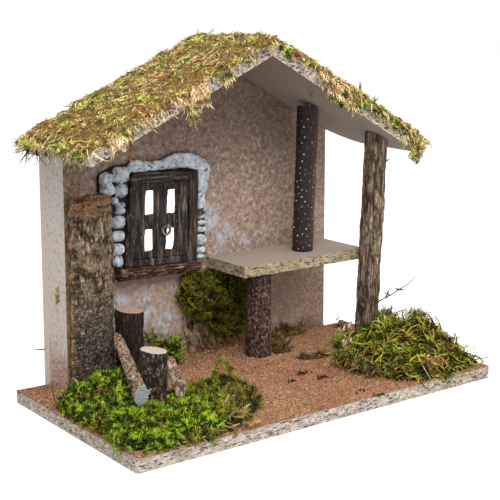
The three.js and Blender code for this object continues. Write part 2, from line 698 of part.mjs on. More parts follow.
// Four corners moved outwards by a distance, or inwards if it is negative
function grown(corners, distance) {
  return corners.map(([x, y]) => [x + Math.sign(x) * distance, y + Math.sign(y) * distance]);
}

function buildWalls() {
  const gable = shapeOf([
    [LEFT_WALL_X, 0], [RIGHT_END_X, 0], [RIGHT_END_X, underRightRoof(RIGHT_END_X)],
    [RIDGE_X, RIDGE_HEIGHT - GAP * 1.3], [LEFT_WALL_X, underLeftRoof(LEFT_WALL_X)]]);
  const windowHole = panel(shapeOf(openingOutline), 4 * WALL_THICKNESS).translate(0, 2 * WALL_THICKNESS, 0);
  const backWall = asSolid(panel(gable, WALL_THICKNESS).translate(0, WALL_BACK, 0))
    .subtract(asSolid(carry(windowHole, gableWindow, stable)));
  place('back_wall', drill('back_wall', backWall), paintedWall);

  const side = shapeOf([
    [LEFT_WALL_X, BASE_THICKNESS], [LEFT_WALL_X + WALL_THICKNESS, BASE_THICKNESS],
    [LEFT_WALL_X + WALL_THICKNESS, underLeftRoof(LEFT_WALL_X + WALL_THICKNESS)],
    [LEFT_WALL_X, underLeftRoof(LEFT_WALL_X)]]);
  const leftWall = asSolid(panel(side, LEFT_WALL_DEPTH).translate(0, WALL_FACE, 0));
  place('left_wall', drill('left_wall', leftWall), chipboard);
}

// Roof boards, in their own frames: x down or up the slope from the ridge
const leftEave = -(RIDGE_X - LEFT_WALL_X + LEFT_EAVE_OVERHANG) / Math.cos(LEFT_PITCH);
const rightEave = (RIGHT_END_X + RIGHT_EAVE_OVERHANG - RIDGE_X) / Math.cos(RIGHT_PITCH);

function buildRoof() {
  const left = shapeOf([
    [leftEave, ROOF_FRONT], [leftEave * 0.5, ROOF_FRONT + 0.6], [RIDGE_LAP, ROOF_FRONT],
    [RIDGE_LAP, ROOF_BACK], [leftEave * 0.4, ROOF_BACK - 0.8], [leftEave, ROOF_BACK - 0.3],
    [leftEave + 0.7, (ROOF_FRONT + ROOF_BACK) / 2]]);
  const leftBoard = drill('roof_board_left', asSolid(plate(left, ROOF_THICKNESS)), leftRoof);
  place('roof_board_left', leftBoard, chipboard, leftRoof);

  // The hidden rear corner of the right board is sawn off in a curve
  const wallEnd = (RIGHT_END_X - RIDGE_X) / Math.cos(RIGHT_PITCH);
  const right = new THREE.Shape();
  right.moveTo(-ROOF_THICKNESS, ROOF_FRONT);
  right.lineTo(rightEave * 0.55, ROOF_FRONT + 0.5);
  right.lineTo(rightEave, ROOF_FRONT);
  right.lineTo(rightEave - 1, ROOF_FRONT + 20);
  right.lineTo(rightEave - 4, WALL_FACE - 20);
  right.quadraticCurveTo(rightEave - 9, WALL_FACE - 8, wallEnd + 2, WALL_FACE);
  right.lineTo(wallEnd - 12, ROOF_BACK);
  right.lineTo(-ROOF_THICKNESS, ROOF_BACK);
  const aboveLeftUnderside = box(400, 400, 60).translate(-120, 0, 30 - GAP);
  const rightBoard = asSolid(plate(right, ROOF_THICKNESS))
    .subtract(asSolid(carry(aboveLeftUnderside, leftRoof, rightRoof)));
  place('roof_board_right', drill('roof_board_right', mainBody(rightBoard), rightRoof), chipboard, rightRoof);
}

function buildLoft() {
  const shelf = box(SHELF_LENGTH, SHELF_DEPTH, SHELF_THICKNESS)
    .translate(SHELF_LEFT + SHELF_LENGTH / 2, SHELF_FRONT + SHELF_DEPTH / 2, SHELF_MID);
  place('loft_shelf', drill('loft_shelf', asSolid(shelf)), chipboard);
  place('loft_support_post', drill('loft_support_post', barkPost(supportPost)), greyBark);
  place('loft_post', drill('loft_post', barkPost(loftPost)), cherryBark);

  // Knots and broken twig stubs on the front post
  const postHeight = frontPost.topAt(frontPost.head.x) - frontPost.bottom;
  const axisAt = (share) => frontPost.foot.clone().lerp(frontPost.head, share);
  const heightAt = (share) => frontPost.bottom + share * postHeight;
  const knot = (share, bearing, size) => {
    const centre = axisAt(share);
    const angle = THREE.MathUtils.degToRad(bearing);
    const out = 0.86 * FRONT_POST_RADIUS;
    return asSolid(new THREE.SphereGeometry(size, 8, 6).scale(1, 1, 1.5)
      .translate(centre.x + out * Math.cos(angle), centre.y + out * Math.sin(angle), heightAt(share)));
  };
  const stub = (share, bearing, reach, rise) => {
    const centre = axisAt(share);
    const angle = THREE.MathUtils.degToRad(bearing);
    const ray = (distance, lift) => new THREE.Vector3(
      centre.x + distance * Math.cos(angle), centre.y + distance * Math.sin(angle), heightAt(share) + lift);
    const [root, middle, tip] = [-3, reach / 2, reach].map((out) => FRONT_POST_RADIUS + out);
    return twig([ray(root, 0), ray(middle, rise * 0.7), ray(tip, rise)], TWIG_RADIUS, TWIG_RADIUS / 2);
  };
  const post = barkPost(frontPost)
    .add(knot(0.765, -112, 2.6)).add(knot(0.448, -125, 2.4)).add(knot(0.199, -160, 2.2))
    .add(stub(0.921, 205, 3.4, 2)).add(stub(0.871, -28, 7, 5));
  place('front_post', drill('front_post', post), furrowedBark);
}

function buildBarkSlab() {
  place('bark_slab', barkSlab(), orangeBark);
}

// Rounded stones beside the frame: distance of the centre from the frame's edge, height, width, height
const leftStones = [
  [4, 32.8, 17, 12.4], [16, 30.2, 11, 10], [14.5, 22.8, 13, 10.4], [3, 21.4, 11.6, 10],
  [8, 14.6, 6, 5.6], [3.5, 11.4, 9.4, 4], [3.2, 7.2, 9, 4.6], [5, -0.8, 13.6, 9.6],
  [5.4, -10.8, 14.2, 8.2], [5, -20.4, 12.6, 9.2], [4.4, -29.2, 8.6, 9]];
const rightStones = [
  [4.6, -1, 9.2, 3.8], [4.8, -5.8, 9, 3.8], [4.6, -10.8, 9.4, 4.6], [4.6, -18.6, 10, 8.8],
  [4.8, -26.4, 10, 5.4], [4.8, -31.2, 9, 3.4]];
const stones = [
  ...leftStones.map(([out, ...rest]) => [-halfFrame - out, ...rest]),
  ...rightStones.map(([out, ...rest]) => [halfFrame + out, ...rest])];

// The thin mortar bed under the stones, and the thick plaster band over the frame
function mortarOutline() {
  const [left, right, top, bottom] = [-halfFrame, halfFrame, frameTop, frameBottom];
  return [
    [left - 8, bottom - 1], [left - 11, bottom + 12.5], [left - 11.5, -9], [left - 11, 5],
    [left - 10.5, 15], [left - 19, top - 16], [left - 21.5, top - 7], [left - 18, top + 1],
    [left - 10, top + 5], [left + 2, top + 6], [left + 12, top + 6.5], [-3, top + 6],
    [11, top + 10], [right - 4, top + 10], [right + 6, top + 5], [right + 9, top - 2],
    [right + 7, top - 17], [right + 8, 5], [right + 8.5, -9], [right + 8, bottom + 10.5],
    [right + 7.5, bottom - 1]];
}
function bandOutline() {
  const [left, right, top] = [-halfFrame, halfFrame, frameTop];
  return [
    [left + 2.5, top + 1], [left + 3, top + 8], [left + 8.5, top + 9.2], [left + 16, top + 8],
    [-3, top + 8.2], [4, top + 10.4], [10, top + 12.6], [right - 14, top + 13],
    [right - 5, top + 12.4], [right + 3.5, top + 8.6], [right + 8.5, top + 5], [right + 11, top + 0.5],
    [right + 9.4, top - 6], [right + 8.4, top - 15], [right + 5.8, top - 18.4], [right + 7.2, top - 24.4],
    [right + 8.8, top - 30], [right + 1, top - 32], [right - 0.2, top - 23], [right, top - 5],
    [right - 6, top + 1.4], [9, top + 2], [-7, top + 1.2]];
}

function pebble([x, y, width, height], grow = 0) {
  const round = new THREE.SphereGeometry(1, 9, 6);
  const points = round.getAttribute('position');
  const squared = (value) => Math.sign(value) * Math.abs(value) ** 0.75;
  for (let i = 0; i < points.count; i++) {
    points.setXYZ(i, squared(points.getX(i)), squared(points.getY(i)), squared(points.getZ(i)));
  }
  const depth = STONE_DEPTH * Math.min(1, 0.6 + height / 26);
  return asSolid(round.scale(width / 2 + grow, depth + grow, height / 2 + grow).translate(x, 0, y));
}

function buildWindow() {
  const frame = shapeOf(frameOutline, [openingOutline]);
  place('window_frame', asSolid(panel(frame, FRAME_DEPTH)), darkTimber, gableWindow);

  // Two moulded leaves that meet in the middle, each with two lights
  const meeting = (openingOutline[0][0] + openingOutline[1][0]) / 2;
  const lightTop = openingTop - TOP_RAIL;
  const upper = [lightTop - UPPER_LIGHT_HEIGHT, lightTop];
  const lower = [openingBottom + LOWER_RAIL, upper[0] - MIDDLE_RAIL];
  const leaf = (name, side) => {
    const [bottomCorner, topCorner] = side < 0
      ? [openingOutline[0][0] + GAP, openingOutline[3][0] + GAP]
      : [openingOutline[1][0] - GAP, openingOutline[2][0] - GAP];
    const inner = meeting + side * GAP / 2;
    const outline = [[inner, openingBottom + GAP], [bottomCorner, openingBottom + GAP],
      [topCorner, openingTop - GAP], [inner, openingTop - GAP]];
    const lights = [upper, lower].map(([low, high], row) => {
      const near = meeting + side * LIGHT_FROM_MEETING_EDGE;
      const far = near + side * LIGHT_WIDTH;
      return [[near, low + 0.6], [near + side * 0.8, high - 0.5], [far - side * 0.6, high],
        [far, (low + high) / 2], [far - side * (0.4 + 0.5 * row), low]];
    });
    const moulding = asSolid(panel(shapeOf(outline, lights), CASEMENT_THICKNESS)
      .translate(0, CASEMENT_THICKNESS - FRAME_DEPTH + CASEMENT_RECESS, 0));
    place(name, moulding, darkTimber, gableWindow);
  };
  leaf('left_casement', -1);
  leaf('right_casement', 1);

  // Ring pull on the right leaf's meeting stile, with its staple behind the top of the ring
  const ringX = meeting + LIGHT_FROM_MEETING_EDGE / 2 + 1;
  const ringZ = (upper[0] + lower[1]) / 2 - RING_RADIUS - RING_BELOW_RAIL;
  const leafFace = -(FRAME_DEPTH - CASEMENT_RECESS);
  const ringY = leafFace - GAP - RING_WIRE_RADIUS;
  const torus = new THREE.TorusGeometry(RING_RADIUS, RING_WIRE_RADIUS, 6, 14)
    .rotateX(Math.PI / 2)
    .translate(ringX, ringY, ringZ);
  const staple = box(1.6, 2 * RING_WIRE_RADIUS + 1, 2.4)
    .translate(ringX, ringY - 0.5, ringZ + RING_RADIUS);
  place('ring_pull', asSolid(torus).add(asSolid(staple)), brass, gableWindow);

  const pegAt = [halfFrame + GAP + PEG_WIDTH / 2, PEG_ABOVE_CENTRE];
  const peg = (grow) => {
    const corners = [[-1, -1], [1, -1], [1, 1], [-1, 1]].map(([x, y]) =>
      [pegAt[0] + x * (PEG_WIDTH / 2 + grow), pegAt[1] + y * (PEG_HEIGHT / 2 + grow)]);
    return asSolid(panel(shapeOf(corners), PEG_DEPTH + 10 * grow, grow > 0 ? 0 : 0.6));
  };
  place('hinge_peg', peg(0), darkTimber, gableWindow);

  const behindWall = box(200, 60, 200).translate(0, 30, 0);
  const frameSpace = panel(shapeOf(grown(frameOutline, GAP)), 40).translate(0, 10, 0);
  const belowSill = box(200, 60, 60).translate(0, 0, frameBottom + 0.4 - 30);
  let surround = asSolid(panel(shapeOf(mortarOutline()), MORTAR_DEPTH))
    .add(asSolid(panel(shapeOf(smoothOutline(bandOutline(), 46)), BAND_DEPTH, 1.2)));
  for (const size of stones) surround = surround.add(pebble(size));
  surround = surround
    .subtract(asSolid(behindWall))
    .subtract(asSolid(frameSpace))
    .subtract(asSolid(belowSill))
    .subtract(peg(GAP));
  place('stone_surround', mainBody(surround), stone, gableWindow);

  // Sill plank of bark-edged wood, level on top where the frame stands
  const sillTop = frameBottom - GAP;
  const rings = [];
  const stations = 9;
  for (let station = 0; station <= stations; station++) {
    const x = -halfFrame - SILL_OVERHANG + SILL_LENGTH * station / stations;
    const edge = 0.7 * ripple(station * 1.3, 1, 3);
    const sag = 0.6 * ripple(station, 4, 2);
    const drop = SILL_THICKNESS - station * 0.16;
    rings.push([
      [0, sillTop], [-SILL_DEPTH + 1 + edge, sillTop], [-SILL_DEPTH + edge, sillTop - 2],
      [-SILL_DEPTH + 0.6 - edge, sillTop - drop * 0.6], [-SILL_DEPTH + 2.6, sillTop - drop + sag * 0.5],
      [-4, sillTop - drop - sag * 0.4], [0, sillTop - drop + 0.5],
    ].map(([y, z]) => new THREE.Vector3(x, y, z)));
  }
  place('window_sill', asSolid(loft(rings, alongX)), sillBark, gableWindow);
}

function buildStumps() {
  place('rear_stump', barkPost(rearStump), darkBark);
  place('front_stump', barkPost(frontStump), greyBark);
  const leaning = leaningLog(leftLog)
    .subtract(barkPost({ ...rearStump, grow: GAP }))
    .subtract(barkPost({ ...frontStump, grow: GAP }))
    .subtract(barkSlab(GAP));
  place('left_log', mainBody(leaning), splitWood);
  place('right_log', leaningLog(rightLog).subtract(barkPost({ ...frontStump, grow: GAP })), splitWood);
}

// Points given from a corner of the base or another anchor, in millimetres or as shares of two spans
function from(anchorX, anchorY, points, spanX = 1, spanY = 1) {
  return points.map(([x, y]) => [anchorX + x * spanX, anchorY + y * spanY]);
}

function cushionOnFloor(settings) {
  const wallSpace = box(2 * BASE_WIDTH, 60, BASE_WIDTH).translate(0, WALL_FACE - GAP + 30, BASE_WIDTH / 2);
  return asSolid(mossCushion(settings).translate(0, 0, FLOOR)).subtract(asSolid(wallSpace));
}

function cushionOnWall(settings) {
  return asSolid(mossCushion(settings).rotateX(Math.PI / 2).translate(0, WALL_FACE, 0));
}

function buildRoofMoss() {
  const leftMoss = mossBlanket({
    from: leftEave - ROOF_MOSS_LIP, to: RIDGE_LAP + RIDGE_LIP,
    front: ROOF_FRONT - ROOF_MOSS_LIP, back: ROOF_BACK + 1,
    columns: 20, rows: 10, thickness: ROOF_MOSS_THICKNESS, seed: 3,
  }).translate(0, 0, ROOF_THICKNESS + GAP);
  place('roof_moss_left', asSolid(leftMoss), dryMoss, leftRoof);

  // The right blanket starts under the left one's lip, against the end of the left board
  const rightMoss = mossBlanket({
    from: 0, to: rightEave + ROOF_MOSS_LIP + 3, front: ROOF_FRONT - ROOF_MOSS_LIP, back: ROOF_BACK + 1,
    columns: 20, rows: 10, thickness: ROOF_MOSS_THICKNESS, seed: 8,
  }).translate(0, 0, ROOF_THICKNESS + GAP);
  const leftBoardSpace = box(60, 400, 60).translate(RIDGE_LAP + GAP - 30, 0, 0);
  const leftMossEnd = RIDGE_LAP + RIDGE_LIP + BLANKET_WOBBLE + GAP;
  const leftMossSpace = box(60, 400, 60).translate(leftMossEnd - 30, 0, ROOF_THICKNESS + 30);
  const wallEnd = (RIGHT_END_X - RIDGE_X) / Math.cos(RIGHT_PITCH);
  const corner = new THREE.Shape();
  corner.moveTo(-20, ROOF_FRONT - 20);
  corner.lineTo(rightEave + 20, ROOF_FRONT - 20);
  corner.lineTo(rightEave + 20, WALL_FACE - 34);
  corner.quadraticCurveTo(rightEave - 2, WALL_FACE - 6, wallEnd + 5, WALL_FACE + 3);
  corner.lineTo(wallEnd - 9, ROOF_BACK + 20);
  corner.lineTo(-20, ROOF_BACK + 20);
  const onRight = asSolid(rightMoss)
    .subtract(asSolid(carry(leftBoardSpace, leftRoof, rightRoof)))
    .subtract(asSolid(carry(leftMossSpace, leftRoof, rightRoof)))
    .intersect(asSolid(plate(corner, 60)));
  place('roof_moss_right', mainBody(onRight), dryMoss, rightRoof);

  // A reddish stem that hangs from under the front lip of the left blanket
  const top = new THREE.Vector3(leftEave * 0.785, ROOF_FRONT - GAP - STEM_RADIUS, ROOF_THICKNESS - GAP)
    .applyMatrix4(leftRoof.matrixWorld);
  const stem = [[0, 0], [0.6, -STEM_LENGTH / 2], [-0.3, -STEM_LENGTH]].map(([x, z]) =>
    top.clone().add(new THREE.Vector3(x, 0, z)));
  place('roof_stem', twig(stem, STEM_RADIUS, STEM_RADIUS / 2), twigWood);
}

function buildGroundMoss() {
  const solidWood = [
    barkPost({ ...rearStump, grow: GAP }), barkPost({ ...frontStump, grow: GAP }),
    leaningLog({ ...leftLog, grow: GAP }), leaningLog({ ...rightLog, grow: GAP }), barkSlab(GAP)];
  const leftGround = LEFT_WALL_FRONT - FRONT;
  const leftMoss = cushionOnFloor({
    outline: from(LEFT, FRONT, [
      [0.007, 0.73], [0.013, 0.456], [0.01, 0.228], [0.017, 0.091], [0.073, 0.023], [0.133, 0.03],
      [0.193, 0.008], [0.247, 0.046], [0.307, 0.114], [0.373, 0.228], [0.403, 0.335], [0.393, 0.471],
      [0.347, 0.593], [0.28, 0.578], [0.233, 0.669], [0.2, 0.806], [0.16, 0.905], [0.093, 0.92],
    ], BASE_WIDTH, leftGround),
    humps: [
      [LEFT + 38, FRONT + 0.768 * leftGround, 12, 13], [LEFT + 24, FRONT + 0.502 * leftGround, 6, 15],
      [LEFT + 30, FRONT + 0.228 * leftGround, 4, 16], [LEFT + 66, FRONT + 0.198 * leftGround, 3, 13],
      [LEFT + 106, FRONT + 0.426 * leftGround, 8, 13]],
    crown: 9, samples: 42, seed: 1,
  });
  const roundWood = solidWood.reduce((rest, piece) => rest.subtract(piece), leftMoss);
  place('ground_moss_left', mainBody(roundWood), greenMoss);

  const rightGround = frontPost.foot.y - FRONT;
  const rightMoss = cushionOnFloor({
    outline: from(RIGHT, FRONT, [
      [-0.287, 0.7], [-0.293, 0.54], [-0.267, 0.36], [-0.273, 0.2], [-0.22, 0.04], [-0.147, 0.03],
      [-0.08, 0.03], [-0.013, 0.1], [-0.01, 0.4], [-0.013, 0.7], [-0.017, 0.96], [-0.073, 1.08],
      [-0.147, 1.12], [-0.207, 0.98], [-0.247, 0.84],
    ], BASE_WIDTH, rightGround),
    humps: [
      [RIGHT - 16, FRONT + 0.48 * rightGround, 19, 14], [RIGHT - 30, FRONT + 0.76 * rightGround, 15, 13],
      [RIGHT - 56, FRONT + 0.46 * rightGround, 6, 14]],
    crown: 8, samples: 40, seed: 6,
  });
  const setInMoss = rightMoss
    .subtract(barkPost({ ...frontPost, grow: GAP }))
    .subtract(twig(mossTwigPath, TWIG_RADIUS + GAP, TWIG_RADIUS / 2 + GAP));
  place('ground_moss_right', mainBody(setInMoss), greenMoss);

  // Small clumps: at the wall's foot, under the loft, by the loft's post, and on the open floor
  place('wall_foot_moss', cushionOnFloor({
    outline: from(LEFT_WALL_X + 91, WALL_FACE, [
      [-13, -3], [-12, -14], [-2, -20], [10, -16], [14, -6], [10, -1.5], [-6, -1.5]]),
    humps: [[LEFT_WALL_X + 91, WALL_FACE - 8, 8, 8]], crown: 12, samples: 18, seed: 2,
  }), greenMoss);
  place('loft_foot_moss', cushionOnFloor({
    outline: from(SHELF_LEFT + 78, WALL_FACE, [[-20, -1.5], [-18, -8], [-2, -11], [14, -8], [20, -1.5]]),
    humps: [[SHELF_LEFT + 74, WALL_FACE - 4, 4, 9]], crown: 5, samples: 18, seed: 4,
  }), darkMoss);
  place('post_foot_moss', cushionOnFloor({
    outline: from(supportPost.foot.x + SUPPORT_POST_RADIUS, supportPost.foot.y, [
      [2, -7], [10, -10], [19, -3], [17, 7], [6, 9], [1.6, 2]]),
    humps: [[supportPost.foot.x + 19, supportPost.foot.y, 5, 6]], crown: 6, samples: 16, seed: 5,
  }).subtract(barkPost({ ...supportPost, grow: GAP })), darkMoss);
  place('floor_tuft', cushionOnFloor({
    outline: from(RIGHT - 0.293 * BASE_WIDTH, FRONT + 0.925 * rightGround, [
      [-14, 4], [-8, -4], [2, -6], [12, -3], [11, 3], [0, 6]]),
    humps: [], crown: 3.4, samples: 16, seed: 7,
  }), darkMoss);
}

function buildWallMoss() {
  // It hangs below the sill and the end of the shelf
  const patch = cushionOnWall({
    outline: from(SHELF_LEFT, FLOOR, [
      [-25, 60], [-10, 61], [6, 61.5], [22, 60], [34, 50], [36, 30], [31, 13], [20, 10], [8, 14], [-4, 26],
      [-16, 30], [-26, 42]]),
    humps: [[SHELF_LEFT + 4, FLOOR + 46, 3, 12], [SHELF_LEFT + 22, FLOOR + 30, 3, 12]],
    crown: 7, samples: 26, seed: 3,
  });
  place('wall_moss', patch, darkMoss);

  // A fallen bark chip and the twig that stands in the right moss
  const chipAt = new THREE.Vector3(RIGHT - 16, WALL_FACE - 12, FLOOR);
  const belowFloor = box(40, 40, 10).translate(chipAt.x, chipAt.y, chipAt.z - 5);
  const chip = asSolid(new THREE.SphereGeometry(1, 8, 5).scale(5.5, 2.2, 3).rotateZ(0.7)
    .translate(chipAt.x, chipAt.y, chipAt.z + 2.6)).subtract(asSolid(belowFloor));
  place('bark_chip', chip, splitWood);
  place('moss_twig', twig(mossTwigPath, TWIG_RADIUS, TWIG_RADIUS / 2), twigWood);
}

function buildNails() {
  for (const entry of nails) {
    const mesh = new THREE.Mesh(new THREE.CylinderGeometry(NAIL_RADIUS, NAIL_RADIUS, entry.length, 6), steel);
    mesh.name = entry.name;
    mesh.position.copy(entry.head).addScaledVector(entry.direction, entry.length / 2);
    mesh.quaternion.setFromUnitVectors(OUT, entry.direction);
    stable.add(mesh);
  }
}

buildBase();
buildSawdust();
buildWalls();
buildRoof();
buildLoft();
buildBarkSlab();
buildWindow();
buildStumps();
buildRoofMoss();
buildGroundMoss();
buildWallMoss();
buildNails();

export default stable;
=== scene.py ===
# %% [markdown]
# # A rustic crib stable
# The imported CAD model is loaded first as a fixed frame. Boards, nails and the ring keep
# their CAD shapes and get finishes. Bark, stones, sawdust and moss are soft or rough on the
# real thing, so they get pieces of their own that are carved or grown over the CAD solids.

# %% Load the frame
import math
from contextlib import contextmanager

import bpy
import numpy as np
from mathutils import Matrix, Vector, noise


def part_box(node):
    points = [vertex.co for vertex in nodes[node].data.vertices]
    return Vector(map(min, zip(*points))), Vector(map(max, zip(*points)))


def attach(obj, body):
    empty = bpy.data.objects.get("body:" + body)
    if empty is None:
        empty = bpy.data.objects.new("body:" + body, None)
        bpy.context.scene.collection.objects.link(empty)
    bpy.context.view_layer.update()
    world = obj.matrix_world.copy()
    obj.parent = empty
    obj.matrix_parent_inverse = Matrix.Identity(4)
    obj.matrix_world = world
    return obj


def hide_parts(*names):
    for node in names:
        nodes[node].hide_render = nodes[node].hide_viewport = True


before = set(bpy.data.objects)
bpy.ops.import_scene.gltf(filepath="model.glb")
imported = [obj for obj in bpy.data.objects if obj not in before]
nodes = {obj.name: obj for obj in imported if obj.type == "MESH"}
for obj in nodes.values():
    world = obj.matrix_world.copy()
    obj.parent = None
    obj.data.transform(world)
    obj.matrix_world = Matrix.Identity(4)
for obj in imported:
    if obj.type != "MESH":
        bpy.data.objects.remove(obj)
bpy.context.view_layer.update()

MM = 0.001
# Blender's vector noise starts from the clock unless it is given a seed.
noise.seed_set(4)
print("CAD nodes:", len(nodes))

# %% [markdown]
# ## Camera
# The photograph was taken from the front left, a little above the ridge's middle. The place
# and turn come from a camera fitted to the corners of the boards. A long lens keeps the
# boards nearly parallel, and a small shift centres the picture as the photograph is centred.

# %% Set the camera
def add_object(name, data):
    """A new object in the scene."""
    thing = bpy.data.objects.new(name, data)
    bpy.context.scene.collection.objects.link(thing)
    return thing


CAMERA_AT = (-0.490253, -0.633171, 0.264386)
CAMERA_TURN = 0.65001
CAMERA_DOWN = 0.160386
camera_data = bpy.data.cameras.new("camera")
camera_data.lens = 85.36
camera_data.sensor_width = 36
camera_data.shift_y = -0.1
camera = add_object("camera", camera_data)
camera.location = CAMERA_AT
camera.rotation_euler = (math.pi / 2 - CAMERA_DOWN, 0, -CAMERA_TURN)
bpy.context.scene.camera = camera
print("lens", camera_data.lens)

# %% [markdown]
# ## Node helper
# Each finish is a small tree of nodes. Writing every link by hand would bury the idea, so a
# helper names the few steps that all of them use: a pattern, a ramp of colours, a mix and a
# bump. Sizes are given in millimetres, as one would measure them on the real surface.

# %% Finish helper
def paint(code):
    """A colour written as #rrggbb, in the linear values that shaders use."""
    parts = [int(code[i:i + 2], 16) / 255 for i in (1, 3, 5)]
    return [c / 12.92 if c <= 0.04045 else ((c + 0.055) / 1.055) ** 2.4 for c in parts] + [1.0]


def add_node(tree, kind, links=(), **settings):
    """A new node. Each link names an input and gives it a number or another node's output."""
    node = tree.nodes.new(kind)
    for key, value in settings.items():
        setattr(node, key, value)
    for socket, value in links:
        if hasattr(value, "is_output"):
            tree.links.new(value, node.inputs[socket])
        else:
            node.inputs[socket].default_value = value
    return node


class Finish:
    """One procedural material, built step by step on object coordinates."""

    def __init__(self, name, roughness=0.9):
        self.material = bpy.data.materials.new(name)
        self.material.use_nodes = True
        self.tree = self.material.node_tree
        self.shader = self.tree.nodes["Principled BSDF"]
        self.shader.inputs["Roughness"].default_value = roughness
        self.shader.inputs["Specular IOR Level"].default_value = 0.3
        self.place = self.tree.nodes.new("ShaderNodeTexCoord").outputs["Object"]

    def step(self, kind, links=(), **settings):
        return add_node(self.tree, kind, links, **settings)

    def stretch(self, x, y, z):
        """Object coordinates whose pattern cells are x, y and z times as long."""
        return self.step("ShaderNodeMapping", [
            ("Vector", self.place), ("Scale", (1 / x, 1 / y, 1 / z))]).outputs["Vector"]

    def cloud(self, size, detail=4.0, rough=0.55, at=None, twist=0.0):
        """Soft noise whose lumps are about size millimetres wide."""
        return self.step("ShaderNodeTexNoise", [
            ("Vector", at or self.place), ("Scale", 1000 / size), ("Detail", detail),
            ("Roughness", rough), ("Distortion", twist)]).outputs["Fac"]

    def cells(self, size, feature="F1", at=None, output="Distance"):
        """A pattern of cells about size millimetres wide."""
        return self.step("ShaderNodeTexVoronoi", [
            ("Vector", at or self.place), ("Scale", 1000 / size)], feature=feature).outputs[output]

    def ramp(self, value, stops):
        """Turns a number into a colour. A stop is a number from 0 to 1 and its colour."""
        node = self.step("ShaderNodeValToRGB", [("Fac", value)])
        band = node.color_ramp
        for place, _ in stops[2:]:
            band.elements.new(place)
        for element, (place, code) in zip(band.elements, sorted(stops)):
            element.position = place
            element.color = paint(code)
        return node.outputs["Color"]

    def fade(self, value, low, high, end=1.0, start=0.0):
        """A smooth step from start to end, as the value goes from low to high."""
        node = self.step("ShaderNodeMapRange", [
            ("Value", value), ("From Min", low), ("From Max", high),
            ("To Min", start), ("To Max", end)], interpolation_type="SMOOTHSTEP")
        return node.outputs["Result"]

    def mix(self, factor, first, second, kind="MIX"):
        """A mix of two colours, each a code or another node's output."""
        first, second = [paint(c) if isinstance(c, str) else c for c in (first, second)]
        return self.step("ShaderNodeMix", [("Factor", factor), (6, first), (7, second)],
                         data_type="RGBA", blend_type=kind).outputs[2]

    def compute(self, kind, first, second=0.0):
        return self.step("ShaderNodeMath", [(0, first), (1, second)], operation=kind).outputs[0]

    def times(self, first, second):
        return self.compute("MULTIPLY", first, second)

    def plus(self, first, second):
        return self.compute("ADD", first, second)

    def facing(self, direction):
        """1 where the surface faces along the direction, -1 where it faces away."""
        normal = self.step("ShaderNodeNewGeometry").outputs["Normal"]
        return self.step("ShaderNodeVectorMath", [(0, normal), (1, direction)],
                         operation="DOT_PRODUCT").outputs["Value"]

    def near(self, point, reach, ragged=0.0):
        """1 at a point given in millimetres, fading to 0 at the reach."""
        far = self.step("ShaderNodeVectorMath", [
            (0, self.place), (1, [MM * c for c in point])], operation="DISTANCE").outputs["Value"]
        if ragged:
            far = self.plus(far, self.times(self.cloud(ragged), ragged * MM))
        return self.fade(far, reach * MM, 0.35 * reach * MM)

    def axis(self, letter):
        return self.step("ShaderNodeSeparateXYZ", [(0, self.place)]).outputs[letter]

    def own(self, name):
        """A number that the mesh stores at its points."""
        return self.step("ShaderNodeAttribute", attribute_name=name).outputs["Fac"]

    def colour(self, value):
        self.tree.links.new(value, self.shader.inputs["Base Color"])

    def bump(self, height, depth, strength=1.0):
        node = self.step("ShaderNodeBump", [
            ("Height", height), ("Distance", depth * MM), ("Strength", strength)])
        self.tree.links.new(node.outputs["Normal"], self.shader.inputs["Normal"])


def dress(name, finish):
    """Puts a finish on a CAD node that keeps its own shape."""
    part = nodes[name]
    part.data.materials.clear()
    part.data.materials.append(finish.material)


def toned(name, roughness, stops):
    """A finish whose colour follows the tone that each copied shape carries."""
    finish = Finish(name, roughness)
    finish.colour(finish.ramp(finish.own("tone"), stops))
    return finish


def clouded(name, roughness, stops, size, detail=4.0, rough=0.7, grain=(1, 1, 1)):
    """A finish of one cloud of colours, which the grain may stretch."""
    finish = Finish(name, roughness)
    at = finish.place if grain == (1, 1, 1) else finish.stretch(*grain)
    finish.colour(finish.ramp(finish.cloud(size, detail, rough, at), stops))
    return finish


print("finish helper ready")

# %% [markdown]
# ## Studio
# The photograph has a white ground and soft light from above and from the front left, so the
# main lamp stands there and a weaker one fills the right. A wide white floor takes the
# shadow. Its extra glow is seen by the camera only, so the floor stays white in the picture
# without lighting the object from below.

# %% Build the studio
def white_for_camera(tree, glow):
    """A strength that is `glow` for what the camera, a mirror or glass sees, else 0."""
    rays = add_node(tree, "ShaderNodeLightPath").outputs
    seen = rays["Is Camera Ray"]
    for ray in ("Is Glossy Ray", "Is Transmission Ray"):
        seen = add_node(tree, "ShaderNodeMath", [(0, seen), (1, rays[ray])],
                        operation="MAXIMUM").outputs[0]
    return add_node(tree, "ShaderNodeMath", [(0, seen), (1, glow)],
                    operation="MULTIPLY").outputs[0]


floor_finish = Finish("studio_floor", 1.0)
floor_finish.shader.inputs["Base Color"].default_value = (0.86, 0.86, 0.86, 1)
floor_finish.shader.inputs["Emission Color"].default_value = (1, 1, 1, 1)
floor_finish.tree.links.new(
    white_for_camera(floor_finish.tree, 0.62), floor_finish.shader.inputs["Emission Strength"])
bpy.ops.object.select_all(action="DESELECT")
JUST_BELOW = -0.0006
bpy.ops.mesh.primitive_plane_add(size=8, location=(0, 0, JUST_BELOW))
studio_floor = bpy.context.active_object
studio_floor.name = "studio_floor"
studio_floor.data.materials.append(floor_finish.material)

world = bpy.data.worlds.new("studio")
world.use_nodes = True
bpy.context.scene.world = world
sky = world.node_tree
soft = sky.nodes["Background"]
soft.inputs["Color"].default_value = (1, 1, 1, 1)
FILL = 0.55
strength = add_node(sky, "ShaderNodeMath", [(0, white_for_camera(sky, 1 - FILL)), (1, FILL)],
                    operation="ADD")
sky.links.new(strength.outputs[0], soft.inputs["Strength"])


